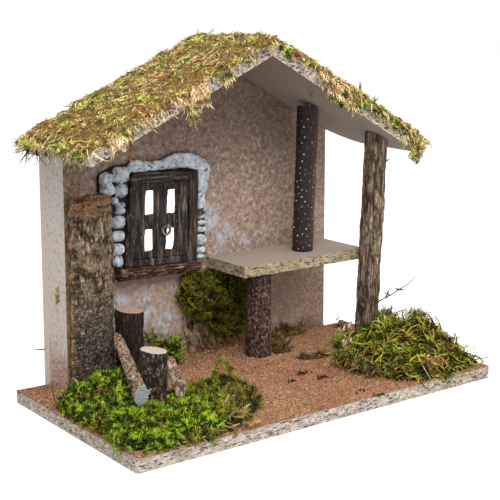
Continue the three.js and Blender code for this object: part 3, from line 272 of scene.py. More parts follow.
def softbox(name, at, width, watts):
    """A square area lamp that looks at the middle of the stable."""
    data = bpy.data.lights.new(name, "AREA")
    data.size = width
    data.energy = watts
    lamp = add_object(name, data)
    lamp.location = at
    aim = Vector((0, 0, 0.1)) - Vector(at)
    lamp.rotation_euler = aim.to_track_quat("-Z", "Y").to_euler()


softbox("key", (-0.5, -0.9, 1.3), 0.8, 21)
softbox("side", (0.9, -0.7, 0.9), 0.9, 7)
bpy.context.scene.view_settings.view_transform = "Standard"
print("studio ready")

# %% [markdown]
# ## Chipboard
# Chipboard is pressed from wood flakes. A sawn edge shows them end on, as pale and grey
# flakes with dark pits between. The flat faces are closed. A stretched cell pattern
# gives the flakes, and a second one the pits, so one finish serves each board once it is
# told which way the board's faces look.

# %% Chipboard finishes
def chipboard(name, face_way, face_stops, edge_stops, long_way=(2.8, 2.8, 0.9), painted_top_shade=None,
              base_dust=False):
    """Painted top shade darkens a face towards a height: where it starts, where it ends, how much.
    """
    finish = Finish(name, 0.92)
    flakes = finish.cells(1.5, at=finish.stretch(*long_way), output="Color")
    pits = finish.cells(1.3, "DISTANCE_TO_EDGE", at=finish.stretch(*long_way))
    dark = finish.cloud(1.3, 4.0, 0.7, at=finish.stretch(*long_way))
    edge = finish.ramp(flakes, edge_stops)
    edge = finish.mix(finish.fade(finish.cloud(6, 4.0, 0.6), 0.45, 0.62, 0.5), edge, "#8d7c6b")
    edge = finish.mix(finish.fade(dark, 0.48, 0.4, 0.95), edge, "#3f3025")
    edge = finish.mix(finish.fade(pits, 0.09, 0.0, 0.7), edge, "#6a5a4c")
    blotch = finish.cloud(1.5, 6.0, 0.75)
    face = finish.ramp(blotch, face_stops)
    # Painted shade: the face gets darker towards the top of the board.
    if painted_top_shade:
        start, end, share = painted_top_shade
        face = finish.mix(finish.fade(finish.axis("Z"), start, end, share), face, "#5b4534")
    if base_dust:
        freckles = finish.fade(finish.cloud(1.9, 4.0, 0.75), 0.55, 0.61, 0.7)
        face = finish.mix(freckles, face, "#7d6958")
        rise = finish.plus(finish.axis("Z"), finish.times(finish.cloud(18, 5.0, 0.75), -0.09))
        stain = finish.times(finish.fade(rise, 0.004, -0.03, 0.95),
                             finish.fade(finish.cloud(1.6, 5.0, 0.8), 0.42, 0.56, 1.0, 0.1))
        face = finish.mix(stain, face, "#96684c")
    on_face = finish.fade(finish.compute("ABSOLUTE", finish.facing(face_way)), 0.8, 0.92)
    finish.colour(finish.mix(on_face, edge, face))
    rough = finish.times(finish.plus(flakes, dark), finish.fade(on_face, 0, 1, 0.25, 1.0))
    finish.bump(rough, 0.5, 0.9)
    return finish


PALE_EDGE = [(0.0, "#97897b"), (0.35, "#c6b9aa"), (0.65, "#dcd2c6"), (1.0, "#ad9d8c")]
GREY_BEIGE = [(0.25, "#9b8d82"), (0.42, "#bdb0a6"), (0.6, "#cbc0b7"), (0.8, "#a89a8e")]
TAUPE = [(0.3, "#8b7d70"), (0.5, "#a3968a"), (0.75, "#94877b")]
ROOF_GRAIN = (2.4, 1.6, 1.2)
LEFT_TILT = -math.radians(24.65)
RIGHT_TILT = math.radians(28.5)
LEFT_UP, RIGHT_UP = [(math.sin(tilt), 0, math.cos(tilt)) for tilt in (LEFT_TILT, RIGHT_TILT)]
dress("base_board", chipboard("chipboard_base", (0, 0, 1), TAUPE, PALE_EDGE))
dress("left_wall", chipboard(
    "chipboard_side", (1, 0, 0), GREY_BEIGE,
    [(0.0, "#473a28"), (0.4, "#7a694e"), (0.7, "#a08e70"), (1.0, "#3e3324")],
    (1.4, 1.4, 2.6), base_dust=True))
dress("roof_board_left", chipboard(
    "chipboard_left_roof", LEFT_UP, TAUPE, PALE_EDGE, ROOF_GRAIN))
# The right roof's underside gets painted shade towards the ridge.
dress("roof_board_right", chipboard(
    "chipboard_right_roof", RIGHT_UP, TAUPE, PALE_EDGE, ROOF_GRAIN, (0.165, 0.235, 0.55)))
dress("loft_shelf", chipboard(
    "chipboard_shelf", (0, 0, 1), [(0.3, "#86766a"), (0.5, "#a39386"), (0.7, "#b2a498")],
    [(0.0, "#8e8062"), (0.35, "#b3a582"), (0.65, "#c8bc9b"), (1.0, "#9f9070")]))
print("boards finished")

# %% [markdown]
# ## Sponged back wall
# The back wall is dabbed with brown, rust and cream paint from a sponge. Layers of small
# clouds in three scales make the dabs. A little bluish white is dabbed under the window and
# beside the shelf, the right end is plain taupe, and the foot is dusted with sawdust. Painted
# shade darkens the upper wall under the roof and a patch at the foot towards the right.

# %% Back wall finish
WALL_FRONT = 78.5
WHITE_DABS = ((-43, 50, 27), (-26, 36, 24), (-65, 58, 20), (-15, 60, 18), (9, 111, 24),
              (27, 95, 22), (46, 89, 16))


def sponged_wall():
    """A white dab is an x, a z and a reach in millimetres on the wall's front."""
    finish = Finish("sponged_wall", 0.95)
    fine = finish.cloud(3.3, 6.0, 0.8, twist=0.7)
    broad = finish.cloud(26, 3.0, 0.5)
    dabs = finish.ramp(fine, [(0.34, "#6b574a"), (0.46, "#957f70"), (0.56, "#b7a293"),
                              (0.66, "#dccfc4")])
    rust = finish.mix(finish.fade(finish.cloud(3.4, 5.0, 0.7), 0.52, 0.6, 0.5),
                      dabs, "#a66f4a")
    warm = finish.mix(finish.fade(broad, 0.4, 0.62), dabs, rust)
    height = finish.axis("Z")
    # Painted shade: the upper wall darkens under the roof.
    painted_top_shade = finish.mix(finish.fade(height, 0.12, 0.2, 0.6), warm, "#574234")
    taupe = finish.ramp(finish.cloud(2.2, 6.0, 0.85),
                        [(0.36, "#75604f"), (0.5, "#a48b79"), (0.64, "#c9b4a3")])
    plain = finish.fade(finish.axis("X"), 0.088, 0.1)
    plain = finish.compute("MAXIMUM", plain, finish.fade(height, 0.078, 0.07, 0.55))
    coat = finish.mix(plain, painted_top_shade, taupe)
    white = None
    for x, z, reach in WHITE_DABS:
        spot = finish.near((x, WALL_FRONT, z), reach, 14)
        white = spot if white is None else finish.compute("MAXIMUM", white, spot)
    broken = finish.cloud(4, 5.0, 0.8, at=finish.stretch(1, 1, 1.6))
    patchy = finish.times(white, finish.fade(broken, 0.44, 0.58))
    coat = finish.mix(finish.times(patchy, 0.85), coat, "#c6cfe0")
    foot = finish.plus(height, finish.times(finish.cloud(6, 4.0, 0.7), -0.016))
    coat = finish.mix(finish.fade(foot, 0.010, -0.002, 0.85), coat, "#9a6248")
    # Painted shade: a dark patch in the corner at the foot of the wall, towards the right.
    corner = finish.near((108, WALL_FRONT, 6), 30, 16)
    coat = finish.mix(finish.times(corner, 0.7), coat, "#64453a")
    back = finish.fade(finish.facing((0, 1, 0)), 0.8, 0.95)
    bare = finish.ramp(finish.cells(1.8, at=finish.stretch(2, 1, 1.2), output="Color"), [
        (0.0, "#a8917f"), (0.4, "#c9b3a2"), (0.7, "#dccabc"), (1.0, "#b59c8a")])
    coat = finish.mix(back, coat, bare)
    side = finish.fade(finish.facing((-1, 0, 0)), 0.8, 0.95)
    coat = finish.mix(side, coat, finish.ramp(finish.cloud(1.5, 6.0, 0.75), GREY_BEIGE))
    finish.colour(coat)
    finish.bump(fine, 0.5, 0.8)
    return finish


dress("back_wall", sponged_wall())
print("back wall finished")

# %% [markdown]
# ## Small metal parts
# The nails are hidden steel brads, a little tarnished. The ring pull is dull grey metal. Both
# keep their CAD shape, which is already right, and only get a finish.

# %% Nails and ring
def worn_metal(name, colour, tarnish, roughness):
    finish = Finish(name, roughness)
    finish.shader.inputs["Metallic"].default_value = 0.8
    spots = finish.cloud(1.5, 5.0, 0.7)
    finish.colour(finish.ramp(spots, [(0.35, tarnish), (0.6, colour)]))
    finish.bump(spots, 0.1, 0.5)
    return finish


steel = worn_metal("brad_steel", "#a8a8a6", "#7d7a75", 0.4)
for name in nodes:
    if name.startswith("nail_"):
        dress(name, steel)
dress("ring_pull", worn_metal("ring_metal", "#9b968a", "#38322b", 0.45))
print("nails and ring finished")

# %% [markdown]
# ## Carving blocks
# Bark, castings and moss are rough all over. The CAD solid has their true form but few faces,
# so each one is copied, its loose triangles are merged, and a voxel remesh turns it into an
# even skin of small faces. Every point can then be moved along its normal, like carving clay.

# %% Carving helpers
def only(piece):
    """Selects one piece and nothing else."""
    bpy.ops.object.select_all(action="DESELECT")
    piece.select_set(True)
    bpy.context.view_layer.objects.active = piece


@contextmanager
def edit_mode():
    """Inside this, Blender's tools work on the points of the active piece."""
    bpy.ops.object.mode_set(mode="EDIT")
    yield
    bpy.ops.object.mode_set(mode="OBJECT")


def block(node, name, voxel):
    """A merged and remeshed copy of a CAD node. The voxel is in millimetres."""
    piece = add_object(name, nodes[node].data.copy())
    piece.data.materials.clear()
    only(piece)
    with edit_mode():
        bpy.ops.mesh.select_all(action="SELECT")
        bpy.ops.mesh.remove_doubles(threshold=1e-6)
    remesh = piece.modifiers.new("remesh", "REMESH")
    remesh.mode = "VOXEL"
    remesh.voxel_size = voxel * MM
    bpy.ops.object.modifier_apply(modifier=remesh.name)
    return piece


def rows(items, key, kind=float):
    """Three numbers for each point or triangle of a mesh, read in one go."""
    found = np.empty(len(items) * 3, kind)
    items.foreach_get(key, found)
    return found.reshape(-1, 3)


def points_of(mesh):
    """The points and normals of a mesh, points in millimetres."""
    return rows(mesh.vertices, "co") / MM, rows(mesh.vertices, "normal")


def store(mesh, name, values):
    """Keeps one number for each point, which a finish can read."""
    kept = mesh.attributes.get(name) or mesh.attributes.new(name, "FLOAT", "POINT")
    kept.data.foreach_set("value", values.astype(np.float32))


def carve(piece, height_at, depth, hold=None):
    """Moves each point along its normal by depth millimetres times height_at(point), which is
    kept as the attribute "relief". hold(points, normals) gives the share that may move."""
    points, normals = points_of(piece.data)
    relief = np.array([height_at(Vector(point)) for point in points])
    share = np.ones(len(points)) if hold is None else hold(points, normals)
    moved = points + normals * (depth * relief * share)[:, None]
    piece.data.vertices.foreach_set("co", (moved * MM).ravel())
    store(piece.data, "relief", relief)
    piece.data.update()


def scaled(point, cell, seed=0):
    """The point in steps of a cell's size, moved by the seed so that patterns differ."""
    return Vector((point.x / cell[0] + seed, point.y / cell[1] - seed,
                   point.z / cell[2] + 2 * seed))


def plates(point, cell, seed=0, sharp=2.4, warp=0.5):
    """Cracked bark: about 1 on a plate, 0 in the crack beside it."""
    at = scaled(point, cell, seed)
    at = at + warp * noise.noise_vector(0.8 * at)
    near = noise.voronoi(at)[0]
    return min(1.0, sharp * (near[1] - near[0]))


def ripples(point, cell, seed=0):
    """Noise in three scales, about -1 to 1."""
    at = scaled(point, cell, seed)
    return noise.noise(at) + 0.5 * noise.noise(2.1 * at) + 0.25 * noise.noise(4.3 * at)


def rind(cell, seed, rough=(2.5, 2.5, 5), share=0.5, sharp=2.2, warp=0.4):
    """A carving rule for bark: plates of one size with finer ripples over them."""
    return lambda p: plates(p, cell, seed, sharp, warp) - 0.6 + share * ripples(p, rough, seed)


def settle(piece, finish, slot, *replaced):
    """Gives a finished piece its material and its body, and hides the CAD nodes that it stands
    for.
    """
    piece.data.materials.clear()
    piece.data.materials.append(finish.material)
    only(piece)
    bpy.ops.object.shade_smooth()
    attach(piece, "root")
    if replaced:
        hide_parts(*replaced)
    print(piece.name, len(piece.data.polygons), "faces")


def sides_only(points, normals):
    """Sawn ends of upright wood stay flat."""
    return np.clip((0.8 - np.abs(normals[:, 2])) / 0.3, 0, 1)


print("carving helpers ready")

# %% [markdown]
# ## Bark
# The front post is a grey-brown stick with long furrows, the upper loft post a smooth dark
# cherry stick with pale pores, and the lower one is dark and speckled. The depth that each
# point was carved to is kept on the mesh, so the finish can paint the crack colour exactly:
# dark bark in the seams, and painted shade in the deep carved spots.

# %% Bark finishes
SEAM_WANDER = 0.0014


def bark(name, crack_and_shade, stops, fleck=None, speck_size=1.4, amount=0.45, seam=(2.6, (1, 1, 6), 0.08)):
    """The seam is a cell size, how far the cells stretch, and how wide the cracks are."""
    finish = Finish(name, 0.9)
    fine = finish.cloud(1.5, 6.0, 0.75, at=finish.stretch(1, 1, 2.4))
    size, stretch, width = seam
    wave = finish.step("ShaderNodeVectorMath", [
        (0, finish.stretch(*stretch)), (1, finish.step("ShaderNodeVectorMath", [
            (0, finish.cloud(4, 2.0)), (1, (SEAM_WANDER,) * 3)],
            operation="MULTIPLY").outputs[0])], operation="ADD").outputs[0]
    seams = finish.fade(finish.cells(size, "DISTANCE_TO_EDGE", at=wave), 0.0, width)
    height = finish.plus(finish.times(finish.own("relief"), 0.22), finish.times(fine, 0.95))
    skin = finish.ramp(height, stops)
    # The crack colour is dark bark in the seams and painted shade in the deep carved spots.
    closed = finish.compute("MINIMUM", seams, finish.fade(finish.own("relief"), -0.65, -0.25))
    skin = finish.mix(finish.fade(closed, 0.0, 1.0, 0.0, 0.85), skin, crack_and_shade)
    if fleck:
        specks = finish.cloud(speck_size, 3.0, 0.6)
        skin = finish.mix(finish.fade(specks, 1 - amount, 1.08 - amount, 0.8), skin, fleck)
    finish.skin = skin
    finish.colour(skin)
    finish.bump(finish.plus(fine, finish.times(seams, 0.5)), 0.6, 0.9)
    return finish


front_bark = bark("furrowed_bark", "#34271d", [(0.3, "#52412f"), (0.46, "#7c6957"),
                                              (0.6, "#a38f7b"), (0.78, "#ccbaa6")])
lower_bark = bark("speckled_bark", "#1c120e", [(0.32, "#2a1b15"), (0.47, "#594034"),
                                              (0.66, "#967868")], "#c6b1a1", 1.1, 0.38,
                  (2.2, (1, 1, 1.4), 0.1))
front_post = block("front_post", "front_post_bark", 0.66)
carve(front_post, rind((2.4, 2.4, 20), 1, (4, 4, 26)), 0.75, sides_only)
settle(front_post, front_bark, "bark", "front_post")
lower_post = block("loft_support_post", "loft_support_post_bark", 0.7)
carve(lower_post, rind((2.2, 2.2, 3.4), 5), 0.4, sides_only)
settle(lower_post, lower_bark, "dark_bark", "loft_support_post")

# %% [markdown]
# ## Cherry stick with pores
# The pale pores are small raised lenses, scattered so that no two touch. One lens is modelled
# as a flattened ball and copied over the stick, a little turned each time, and the copies are
# one piece.

# %% Loft post
cherry = bark("cherry_bark", "#1d1512", [(0.3, "#241a17"), (0.5, "#3b2d29"), (0.75, "#564139")],
              seam=(7, (1, 1, 0.35), 0.04))
cherry.shader.inputs["Roughness"].default_value = 0.62
# Painted shade: the stick is darker on its left side.
painted_dim = cherry.fade(cherry.facing((-0.9, -0.4, 0)), 0.1, 0.8, 0.75)
cherry.colour(cherry.mix(painted_dim, cherry.skin, "#1a1413"))
cherry_post = block("loft_post", "loft_post_bark", 0.8)
carve(cherry_post, lambda p: 0.5 + 0.5 * ripples(p, (9, 9, 2.2), 4), 0.25, sides_only)
settle(cherry_post, cherry, "dark_bark", "loft_post")

pore_finish = clouded("pale_pores", 0.9, [(0.3, "#978a7b"), (0.6, "#d2c8ba")], 0.9, rough=0.55)
bpy.ops.object.select_all(action="DESELECT")
bpy.ops.mesh.primitive_ico_sphere_add(subdivisions=1, radius=MM)
pore = bpy.context.active_object
with edit_mode():
    bpy.ops.transform.resize(value=(1.15, 0.75, 0.55))


def flat_shape(piece):
    """The points and triangles of a small modelled piece, which is then removed."""
    piece.data.calc_loop_triangles()
    points = rows(piece.data.vertices, "co")
    faces = rows(piece.data.loop_triangles, "vertices", np.int64)
    bpy.data.objects.remove(piece)
    return points, faces


def turned_to(headings, lean, generator):
    """For each heading, a frame whose z looks along it. Its x leans towards `lean`, which is a
    direction and a share, one for all copies or one for each."""
    z = headings / np.linalg.norm(headings, axis=1)[:, None]
    wish = generator.normal(size=z.shape)
    wish /= np.linalg.norm(wish, axis=1)[:, None]
    lean = np.reshape(lean, (-1, 4))
    wish = wish * (1 - lean[:, 3:]) + lean[:, :3] * lean[:, 3:]
    x = wish - z * (wish * z).sum(1)[:, None]
    x /= np.linalg.norm(x, axis=1)[:, None] + 1e-12
    return np.stack([x, np.cross(z, x), z], axis=2)


ABOVE_TABLE = 0.3


def copies(name, shapes, roots, headings, sizes, generator, lean=(0, 0, -1, 0.0)):
    """One mesh of many small shapes, each turned, sized and placed. It keeps a random "tone"
    for each copy, and "tip", which goes from 0 at a copy's root to 1 at its far end. Nothing
    reaches under the table."""
    frames = turned_to(headings, lean, generator)
    pick = generator.integers(len(shapes), size=len(roots))
    tones = generator.random(len(roots))
    points, faces, tone, tip, count = [], [], [], [], 0
    for number, (shape, triangles) in enumerate(shapes):
        chosen = np.flatnonzero(pick == number)
        placed = np.einsum("kij,nj->kni", frames[chosen], shape)
        placed = placed * sizes[chosen, None, None] + roots[chosen, None]
        placed[..., 2] = np.maximum(placed[..., 2], ABOVE_TABLE * MM)
        reach = np.linalg.norm(shape, axis=1)
        points.append(placed.reshape(-1, 3))
        starts = count + len(shape) * np.arange(len(chosen))
        faces.append((triangles[None] + starts[:, None, None]).reshape(-1, 3))
        tone.append(np.repeat(tones[chosen], len(shape)))
        tip.append(np.tile(reach / reach.max(), len(chosen)))
        count += len(shape) * len(chosen)
    mesh = bpy.data.meshes.new(name)
    mesh.from_pydata(np.concatenate(points), [], np.concatenate(faces).tolist())
    store(mesh, "tone", np.concatenate(tone))
    store(mesh, "tip", np.concatenate(tip))
    return add_object(name, mesh)


def spots(piece, count, generator, weight=None):
    """Random spots on a piece's surface, with the normals there, in metres. The weight takes
    face centres in millimetres and normals, and gives how readily a face is chosen."""
    mesh = piece.data
    mesh.calc_loop_triangles()
    points, _ = points_of(mesh)
    corners = rows(mesh.loop_triangles, "vertices", np.int64)
    a, b, c = points[corners].transpose(1, 0, 2)
    cross = np.cross(b - a, c - a)
    area = np.linalg.norm(cross, axis=1) + 1e-12
    normal = cross / area[:, None]
    odds = area if weight is None else area * weight((a + b + c) / 3, normal)
    chosen = generator.choice(len(area), count, p=odds / odds.sum())
    u, v = generator.random((2, count))
    u, v = np.where(u + v > 1, 1 - u, u), np.where(u + v > 1, 1 - v, v)
    spot = a[chosen] + (b - a)[chosen] * u[:, None] + (c - a)[chosen] * v[:, None]
    return spot * MM, normal[chosen]


dice = np.random.default_rng(17)
PORE_GAP = 3.3
PORES_FROM, PORES_TO = 84, 184
roots, outward = spots(cherry_post, 700, dice, lambda c, n: (np.abs(n[:, 2]) < 0.3)
                       & (c[:, 2] > PORES_FROM) & (c[:, 2] < PORES_TO))
apart = []
for number, root in enumerate(roots):
    if all(np.linalg.norm(root - roots[other]) > PORE_GAP * MM for other in apart):
        apart.append(number)
roots, outward = roots[apart], outward[apart]
pores = copies("loft_post_pores", [flat_shape(pore)], roots, outward,
               0.25 + 0.65 * dice.random(len(roots)) ** 1.8, dice)
settle(pores, pore_finish, "dark_bark")

# %% [markdown]
# ## Bark slab
# In front of the side wall stands a strip of old bark. Its top rim and left edge are broken
# and orange-brown, the front is cracked into blocks with grey lichen, and the foot is nearly
# black. It is carved in two scales: blocks with deep cracks, and fine grain on top.

# %% Carve the bark slab
def old_bark():
    finish = bark("old_bark", "#1e130d", [(0.33, "#291b12"), (0.43, "#553f2e"),
                                          (0.54, "#88725c"), (0.66, "#d2baa2")],
                  seam=(3.2, (1, 1, 3), 0.16))
    fine = finish.cloud(1.4, 6.0, 0.75)
    lichen = finish.ramp(fine, [(0.37, "#463727"), (0.5, "#87765f"), (0.63, "#bfae93")])
    rough = finish.mix(finish.fade(finish.cloud(12, 5.0, 0.7), 0.47, 0.36, 0.75),
                       finish.skin, "#2e2118")
    lit = finish.plus(finish.cloud(10, 4.0, 0.6), finish.times(finish.axis("X"), 2.5))
    rough = finish.mix(finish.fade(lit, 0.2, 0.34, 0.55), rough, lichen)
    across = finish.cells(3.1, "DISTANCE_TO_EDGE", at=finish.stretch(2.2, 1, 0.8))
    across = finish.fade(across, 0.0, 0.14, 0.0, 0.85)
    height = finish.axis("Z")
    foot = finish.plus(height, finish.times(finish.cloud(16, 3.0), 0.03))
    foot = finish.fade(foot, 0.1, 0.06)
    soot = finish.ramp(fine, [(0.39, "#130d09"), (0.5, "#43362b"), (0.63, "#9b8c7d")])
    rough = finish.mix(finish.times(foot, 0.75), rough, soot)
    rough = finish.mix(finish.times(across, foot), rough, "#140e0a")
    folds = finish.cloud(7, 5.0, 0.7, at=finish.stretch(1.8, 1, 0.8), twist=0.8)
    high_left = finish.times(finish.fade(height, 0.088, 0.1),
                             finish.fade(finish.axis("X"), -0.1, -0.118, 0.4))
    folds = finish.times(finish.fade(folds, 0.52, 0.62), high_left)
    rough = finish.mix(folds, rough, "#b99877")
    torn = finish.ramp(fine, [(0.34, "#4e3322"), (0.48, "#84603f"), (0.66, "#c09a76")])
    rim = finish.plus(height, finish.times(finish.cloud(5, 3.0), 0.02))
    rim = finish.fade(rim, 0.134, 0.145, 0.85)
    # Painted shade in the creases of the torn rim.
    crease_shade = finish.cloud(6, 5.0, 0.7, at=finish.stretch(2.2, 1, 0.6), twist=0.6)
    torn = finish.mix(finish.fade(crease_shade, 0.5, 0.42, 0.95), torn, "#35231a")
    ragged = finish.plus(finish.axis("X"), finish.times(finish.cloud(5, 4.0), -0.009))
    ragged = finish.fade(ragged, -0.1242, -0.1272, 0.9)
    finish.colour(finish.mix(finish.compute("MAXIMUM", rim, ragged), rough, torn))
    return finish


def slab_height(p):
    upper = min(1.0, max(0.0, (p.z - 70) / 30))
    blocks = 0 if upper == 1 else plates(p, (4.2, 9, 3), 7, 2.0, 0.7)
    grooves = 0 if upper == 0 else plates(p, (2.8, 9, 20), 2, 2.2, 0.5)
    rim = 1.5 * min(1.0, max(0.0, (p.z - 124) / 9)) * noise.noise(scaled(p, (11, 9, 2.6), 3))
    return (1 - upper) * blocks + upper * grooves - 0.5 + rim + 0.5 * ripples(p, (3, 3, 4), 1)


slab = block("bark_slab", "bark_slab_old", 0.7)
carve(slab, lambda p: noise.noise(scaled(p, (13, 13, 11), 4)), 1.9, lambda p, n: p[:, 2] > 20)
carve(slab, slab_height, 1.0, lambda p, n: np.clip((np.abs(n[:, 1]) - 0.2) / 0.4, 0.3, 1))
settle(slab, old_bark(), "bark", "bark_slab")

# %% [markdown]
# ## Stumps and split wood
# Two short stumps stand by the wall, and two split sticks lean on the front one. Their sawn
# faces stay flat and take another colour: rings on the stump tops, a weathered blue-grey on
# the left stick's cut. The finish finds a sawn face by the way the surface looks.

# %% Stump and log finishes
RING_WAVES = 4800


def sawn(finish, way, middle, rings, low=0.8):
    """Covers the faces that look one way with sawn wood, ringed around a middle point."""
    centre = finish.step("ShaderNodeMapping", [
        ("Vector", finish.place), ("Location", [-MM * c for c in middle])], vector_type="POINT")
    keep = [1 - abs(c) for c in way]
    across = finish.step("ShaderNodeVectorMath", [(0, centre.outputs[0]), (1, keep)],
                         operation="MULTIPLY")
    far = finish.step("ShaderNodeVectorMath", [(0, across.outputs[0])], operation="LENGTH")
    wobble = finish.times(finish.cloud(5, 3.0), 0.004)
    years = finish.plus(far.outputs["Value"], wobble)
    wave = finish.compute("SINE", finish.times(years, RING_WAVES))
    ringed = finish.ramp(finish.fade(wave, -1, 1), rings)
    soil = finish.mix(finish.fade(finish.cloud(1.6, 5.0, 0.7), 0.42, 0.65, 0.5), ringed,
                      rings[0][1])
    on_cut = finish.fade(finish.facing(way), low, low + 0.12)
    finish.colour(finish.mix(on_cut, finish.skin, soil))
    return finish


rear_finish = bark("rear_stump_bark", "#0d0806", [(0.3, "#170e09"), (0.48, "#2b1b13"),
                                                 (0.7, "#573c2c")], "#6e5546", 1.1, 0.27,
                   (3, (1, 1, 5), 0.16))
sawn(rear_finish, (0, 0, 1), (-78.5, 45, 61),
     [(0.0, "#9f7f6c"), (0.6, "#b9998a"), (1.0, "#c8aa9a")])
front_finish = bark("front_stump_bark", "#19110c", [(0.32, "#1e150f"), (0.47, "#46362a"),
                                                   (0.66, "#8c7868")], "#bcac9e", 1.3, 0.34,
                    (3, (1, 1, 2), 0.12))
sawn(front_finish, (0, 0, 1), (-89, -2, 45),
     [(0.0, "#c0a795"), (0.5, "#dcc9b8"), (1.0, "#e9dccf")])
left_finish = bark("left_stick_bark", "#3a2b20", [(0.3, "#775f4b"), (0.46, "#a0846c"),
                                                 (0.6, "#bfa58e"), (0.78, "#dac6b2")],
                   seam=(3, (1, 2, 1.4), 0.06))
sawn(left_finish, (0, -1, 0), (-103.5, -9, 19),
     [(0.0, "#84939a"), (0.5, "#a3b1b5"), (1.0, "#b4bfc2")])
right_finish = bark("right_stick_bark", "#64513d", [(0.3, "#8f7b66"), (0.46, "#b9a893"),
                                                   (0.6, "#d2c4b2"), (0.78, "#e6dccd")],
                    seam=(4, (1, 1.5, 1.5), 0.05))
sawn(right_finish, (0, 0, 1), (-74, -4, 30),
     [(0.0, "#5b3c26"), (0.5, "#8a6240"), (1.0, "#a9825c")], 0.45)

for node, finish, slot, rule, depth in (
        ("rear_stump", rear_finish, "dark_bark", rind((2.8, 2.8, 12), 3), 0.6),
        ("front_stump", front_finish, "dark_bark", rind((3.4, 3.4, 6), 3), 0.4),
        ("left_log", left_finish, "split_wood", rind((2.6, 5, 3.2), 3), 0.4),
        ("right_log", right_finish, "split_wood", rind((4, 6, 6), 3), 0.25)):
    wood = block(node, node + "_bark", 0.6)
    facing = 1 if node == "left_log" else 2
    carve(wood, rule, depth, lambda p, n: np.clip((0.8 - np.abs(n[:, facing])) / 0.25, 0, 1))
    settle(wood, finish, slot, node)

# %% [markdown]
# ## Window timber
# The frame and the two leaves are hand-carved dark wood. The grain is cut along each board:
# upright on stiles, level on the head and the rails. Brown shows where the dark stain is
# rubbed off the high grain.

# %% Carve the window timber
timber = Finish("stained_timber", 0.75)
lines = timber.cloud(1.3, 5.0, 0.7, at=timber.stretch(1, 1, 9))
worn = timber.plus(timber.times(timber.own("relief"), 0.5), timber.times(lines, 0.7))
stain = timber.ramp(worn, [(0.2, "#14100f"), (0.4, "#2d2725"), (0.58, "#4d4440"),
                           (0.8, "#8a7c70")])
brown = timber.ramp(worn, [(0.2, "#1f1510"), (0.45, "#463427"), (0.7, "#7c6350")])
patch = timber.fade(timber.cloud(15, 2.0, 0.5, at=timber.stretch(1, 1, 2)), 0.48, 0.62, 0.7)
scuffs = timber.fade(timber.cloud(1.1, 4.0, 0.7, at=timber.stretch(1, 1, 3.5)), 0.6, 0.7, 0.6)
timber.colour(timber.mix(scuffs, timber.mix(patch, stain, brown), "#a89c8e"))
timber.bump(lines, 0.5, 0.9)
WINDOW_TOP = 141


def timber_height(p, head):
    """Upright grain, and level grain above the head's lower edge."""
    if p.z > head:
        return ripples(p, (16, 6, 1.9), 3)
    return ripples(p, (1.9, 6, 19), 5)


for node, name in (("window_frame", "window_frame_timber"), ("left_casement", "left_leaf_timber"),
                   ("right_casement", "right_leaf_timber"), ("hinge_peg", "hinge_peg_timber")):
    wood = block(node, name, 0.62)
    head = WINDOW_TOP if node == "window_frame" else math.inf
    carve(wood, lambda p: timber_height(p, head), 0.42)
    settle(wood, timber, "dark_timber", node)

# %% [markdown]
# ## Stone surround and sill
# The stones and the plaster band are one casting, painted bluish white, with dark paint left
# in the joints. The finish tells how deep a spot lies in front of the wall: deep spots are
# joints. The sill is a bark-edged plank, furrowed lengthwise.

# %% Carve the stones and the sill
JOINT_STARTS, JOINT_FULL = 0.0758, 0.0768
stone_finish = Finish("painted_stone", 0.9)
pits = stone_finish.cloud(1.7, 5.0, 0.75)
washed = stone_finish.ramp(stone_finish.cloud(4, 6.0, 0.7), [
    (0.3, "#868d96"), (0.46, "#b6bdc7"), (0.58, "#dce1e8"), (0.8, "#f2f3f3")])
# Dark pits in the paint, and painted shade in the deep carved spots.
pits_and_painted_shade = stone_finish.compute("MAXIMUM", stone_finish.fade(pits, 0.44, 0.34, 0.85),
                             stone_finish.fade(stone_finish.own("relief"), -0.25, -0.8))
washed = stone_finish.mix(pits_and_painted_shade, washed, "#3f3e3f")
deep = stone_finish.plus(stone_finish.axis("Y"),
                         stone_finish.times(stone_finish.cloud(3, 4.0), 0.0016))
joint = stone_finish.fade(deep, JOINT_STARTS, JOINT_FULL)
stone_finish.colour(stone_finish.mix(joint, washed, "#24221f"))
stone_finish.bump(pits, 0.5, 0.8)
stones = block("stone_surround", "stone_surround_cast", 0.62)
carve(stones, lambda p: 0.8 * ripples(p, (5, 5, 5), 2)
      + 0.7 * ripples(p, (1.8, 1.8, 1.8), 8), 0.42)
settle(stones, stone_finish, "cast_stone", "stone_surround")

sill_finish = bark("sill_bark", "#1c130e", [(0.32, "#251811"), (0.45, "#523b2c"),
                                           (0.58, "#84664f"), (0.74, "#bea385")],
                   "#cdbba4", 1.3, 0.3, (2.6, (5, 1, 1), 0.08))
sill = block("window_sill", "window_sill_bark", 0.62)
carve(sill, rind((14, 2.2, 2.2), 4, (6, 2, 2)), 0.55)
settle(sill, sill_finish, "dark_timber", "window_sill")

# %% [markdown]
# ## Sawdust
# The floor is brushed with glue and strewn with reddish sawdust. The CAD skin carries its
# colour and grain, and loose crumbs are strewn over it: three shapes are modelled once and
# copied by the thousand, each one tiny.

# %% Sawdust and crumbs
dust = Finish("sawdust_grains", 1.0)
grit = dust.cells(0.9, output="Color")
lumps = dust.cloud(1.3, 5.0, 0.8)
ground = dust.ramp(grit, [(0.0, "#5f3821"), (0.25, "#9d6b49"), (0.5, "#bd8d69"),
                          (0.75, "#dfb28c"), (1.0, "#7c5138")])
ground = dust.mix(dust.fade(lumps, 0.5, 0.39), ground, "#452819")
ground = dust.mix(dust.fade(dust.cloud(22, 3.0), 0.42, 0.62, 0.4), ground, "#94593c")
# Painted shade: the sawdust is darker towards the back, under the roof.
ground = dust.mix(dust.fade(dust.axis("Y"), 0.02, 0.08, 0.45), ground, "#70482f")
dust.colour(ground)
dust.bump(dust.plus(lumps, grit), 0.7, 1.0)
dress("sawdust_ground", dust)

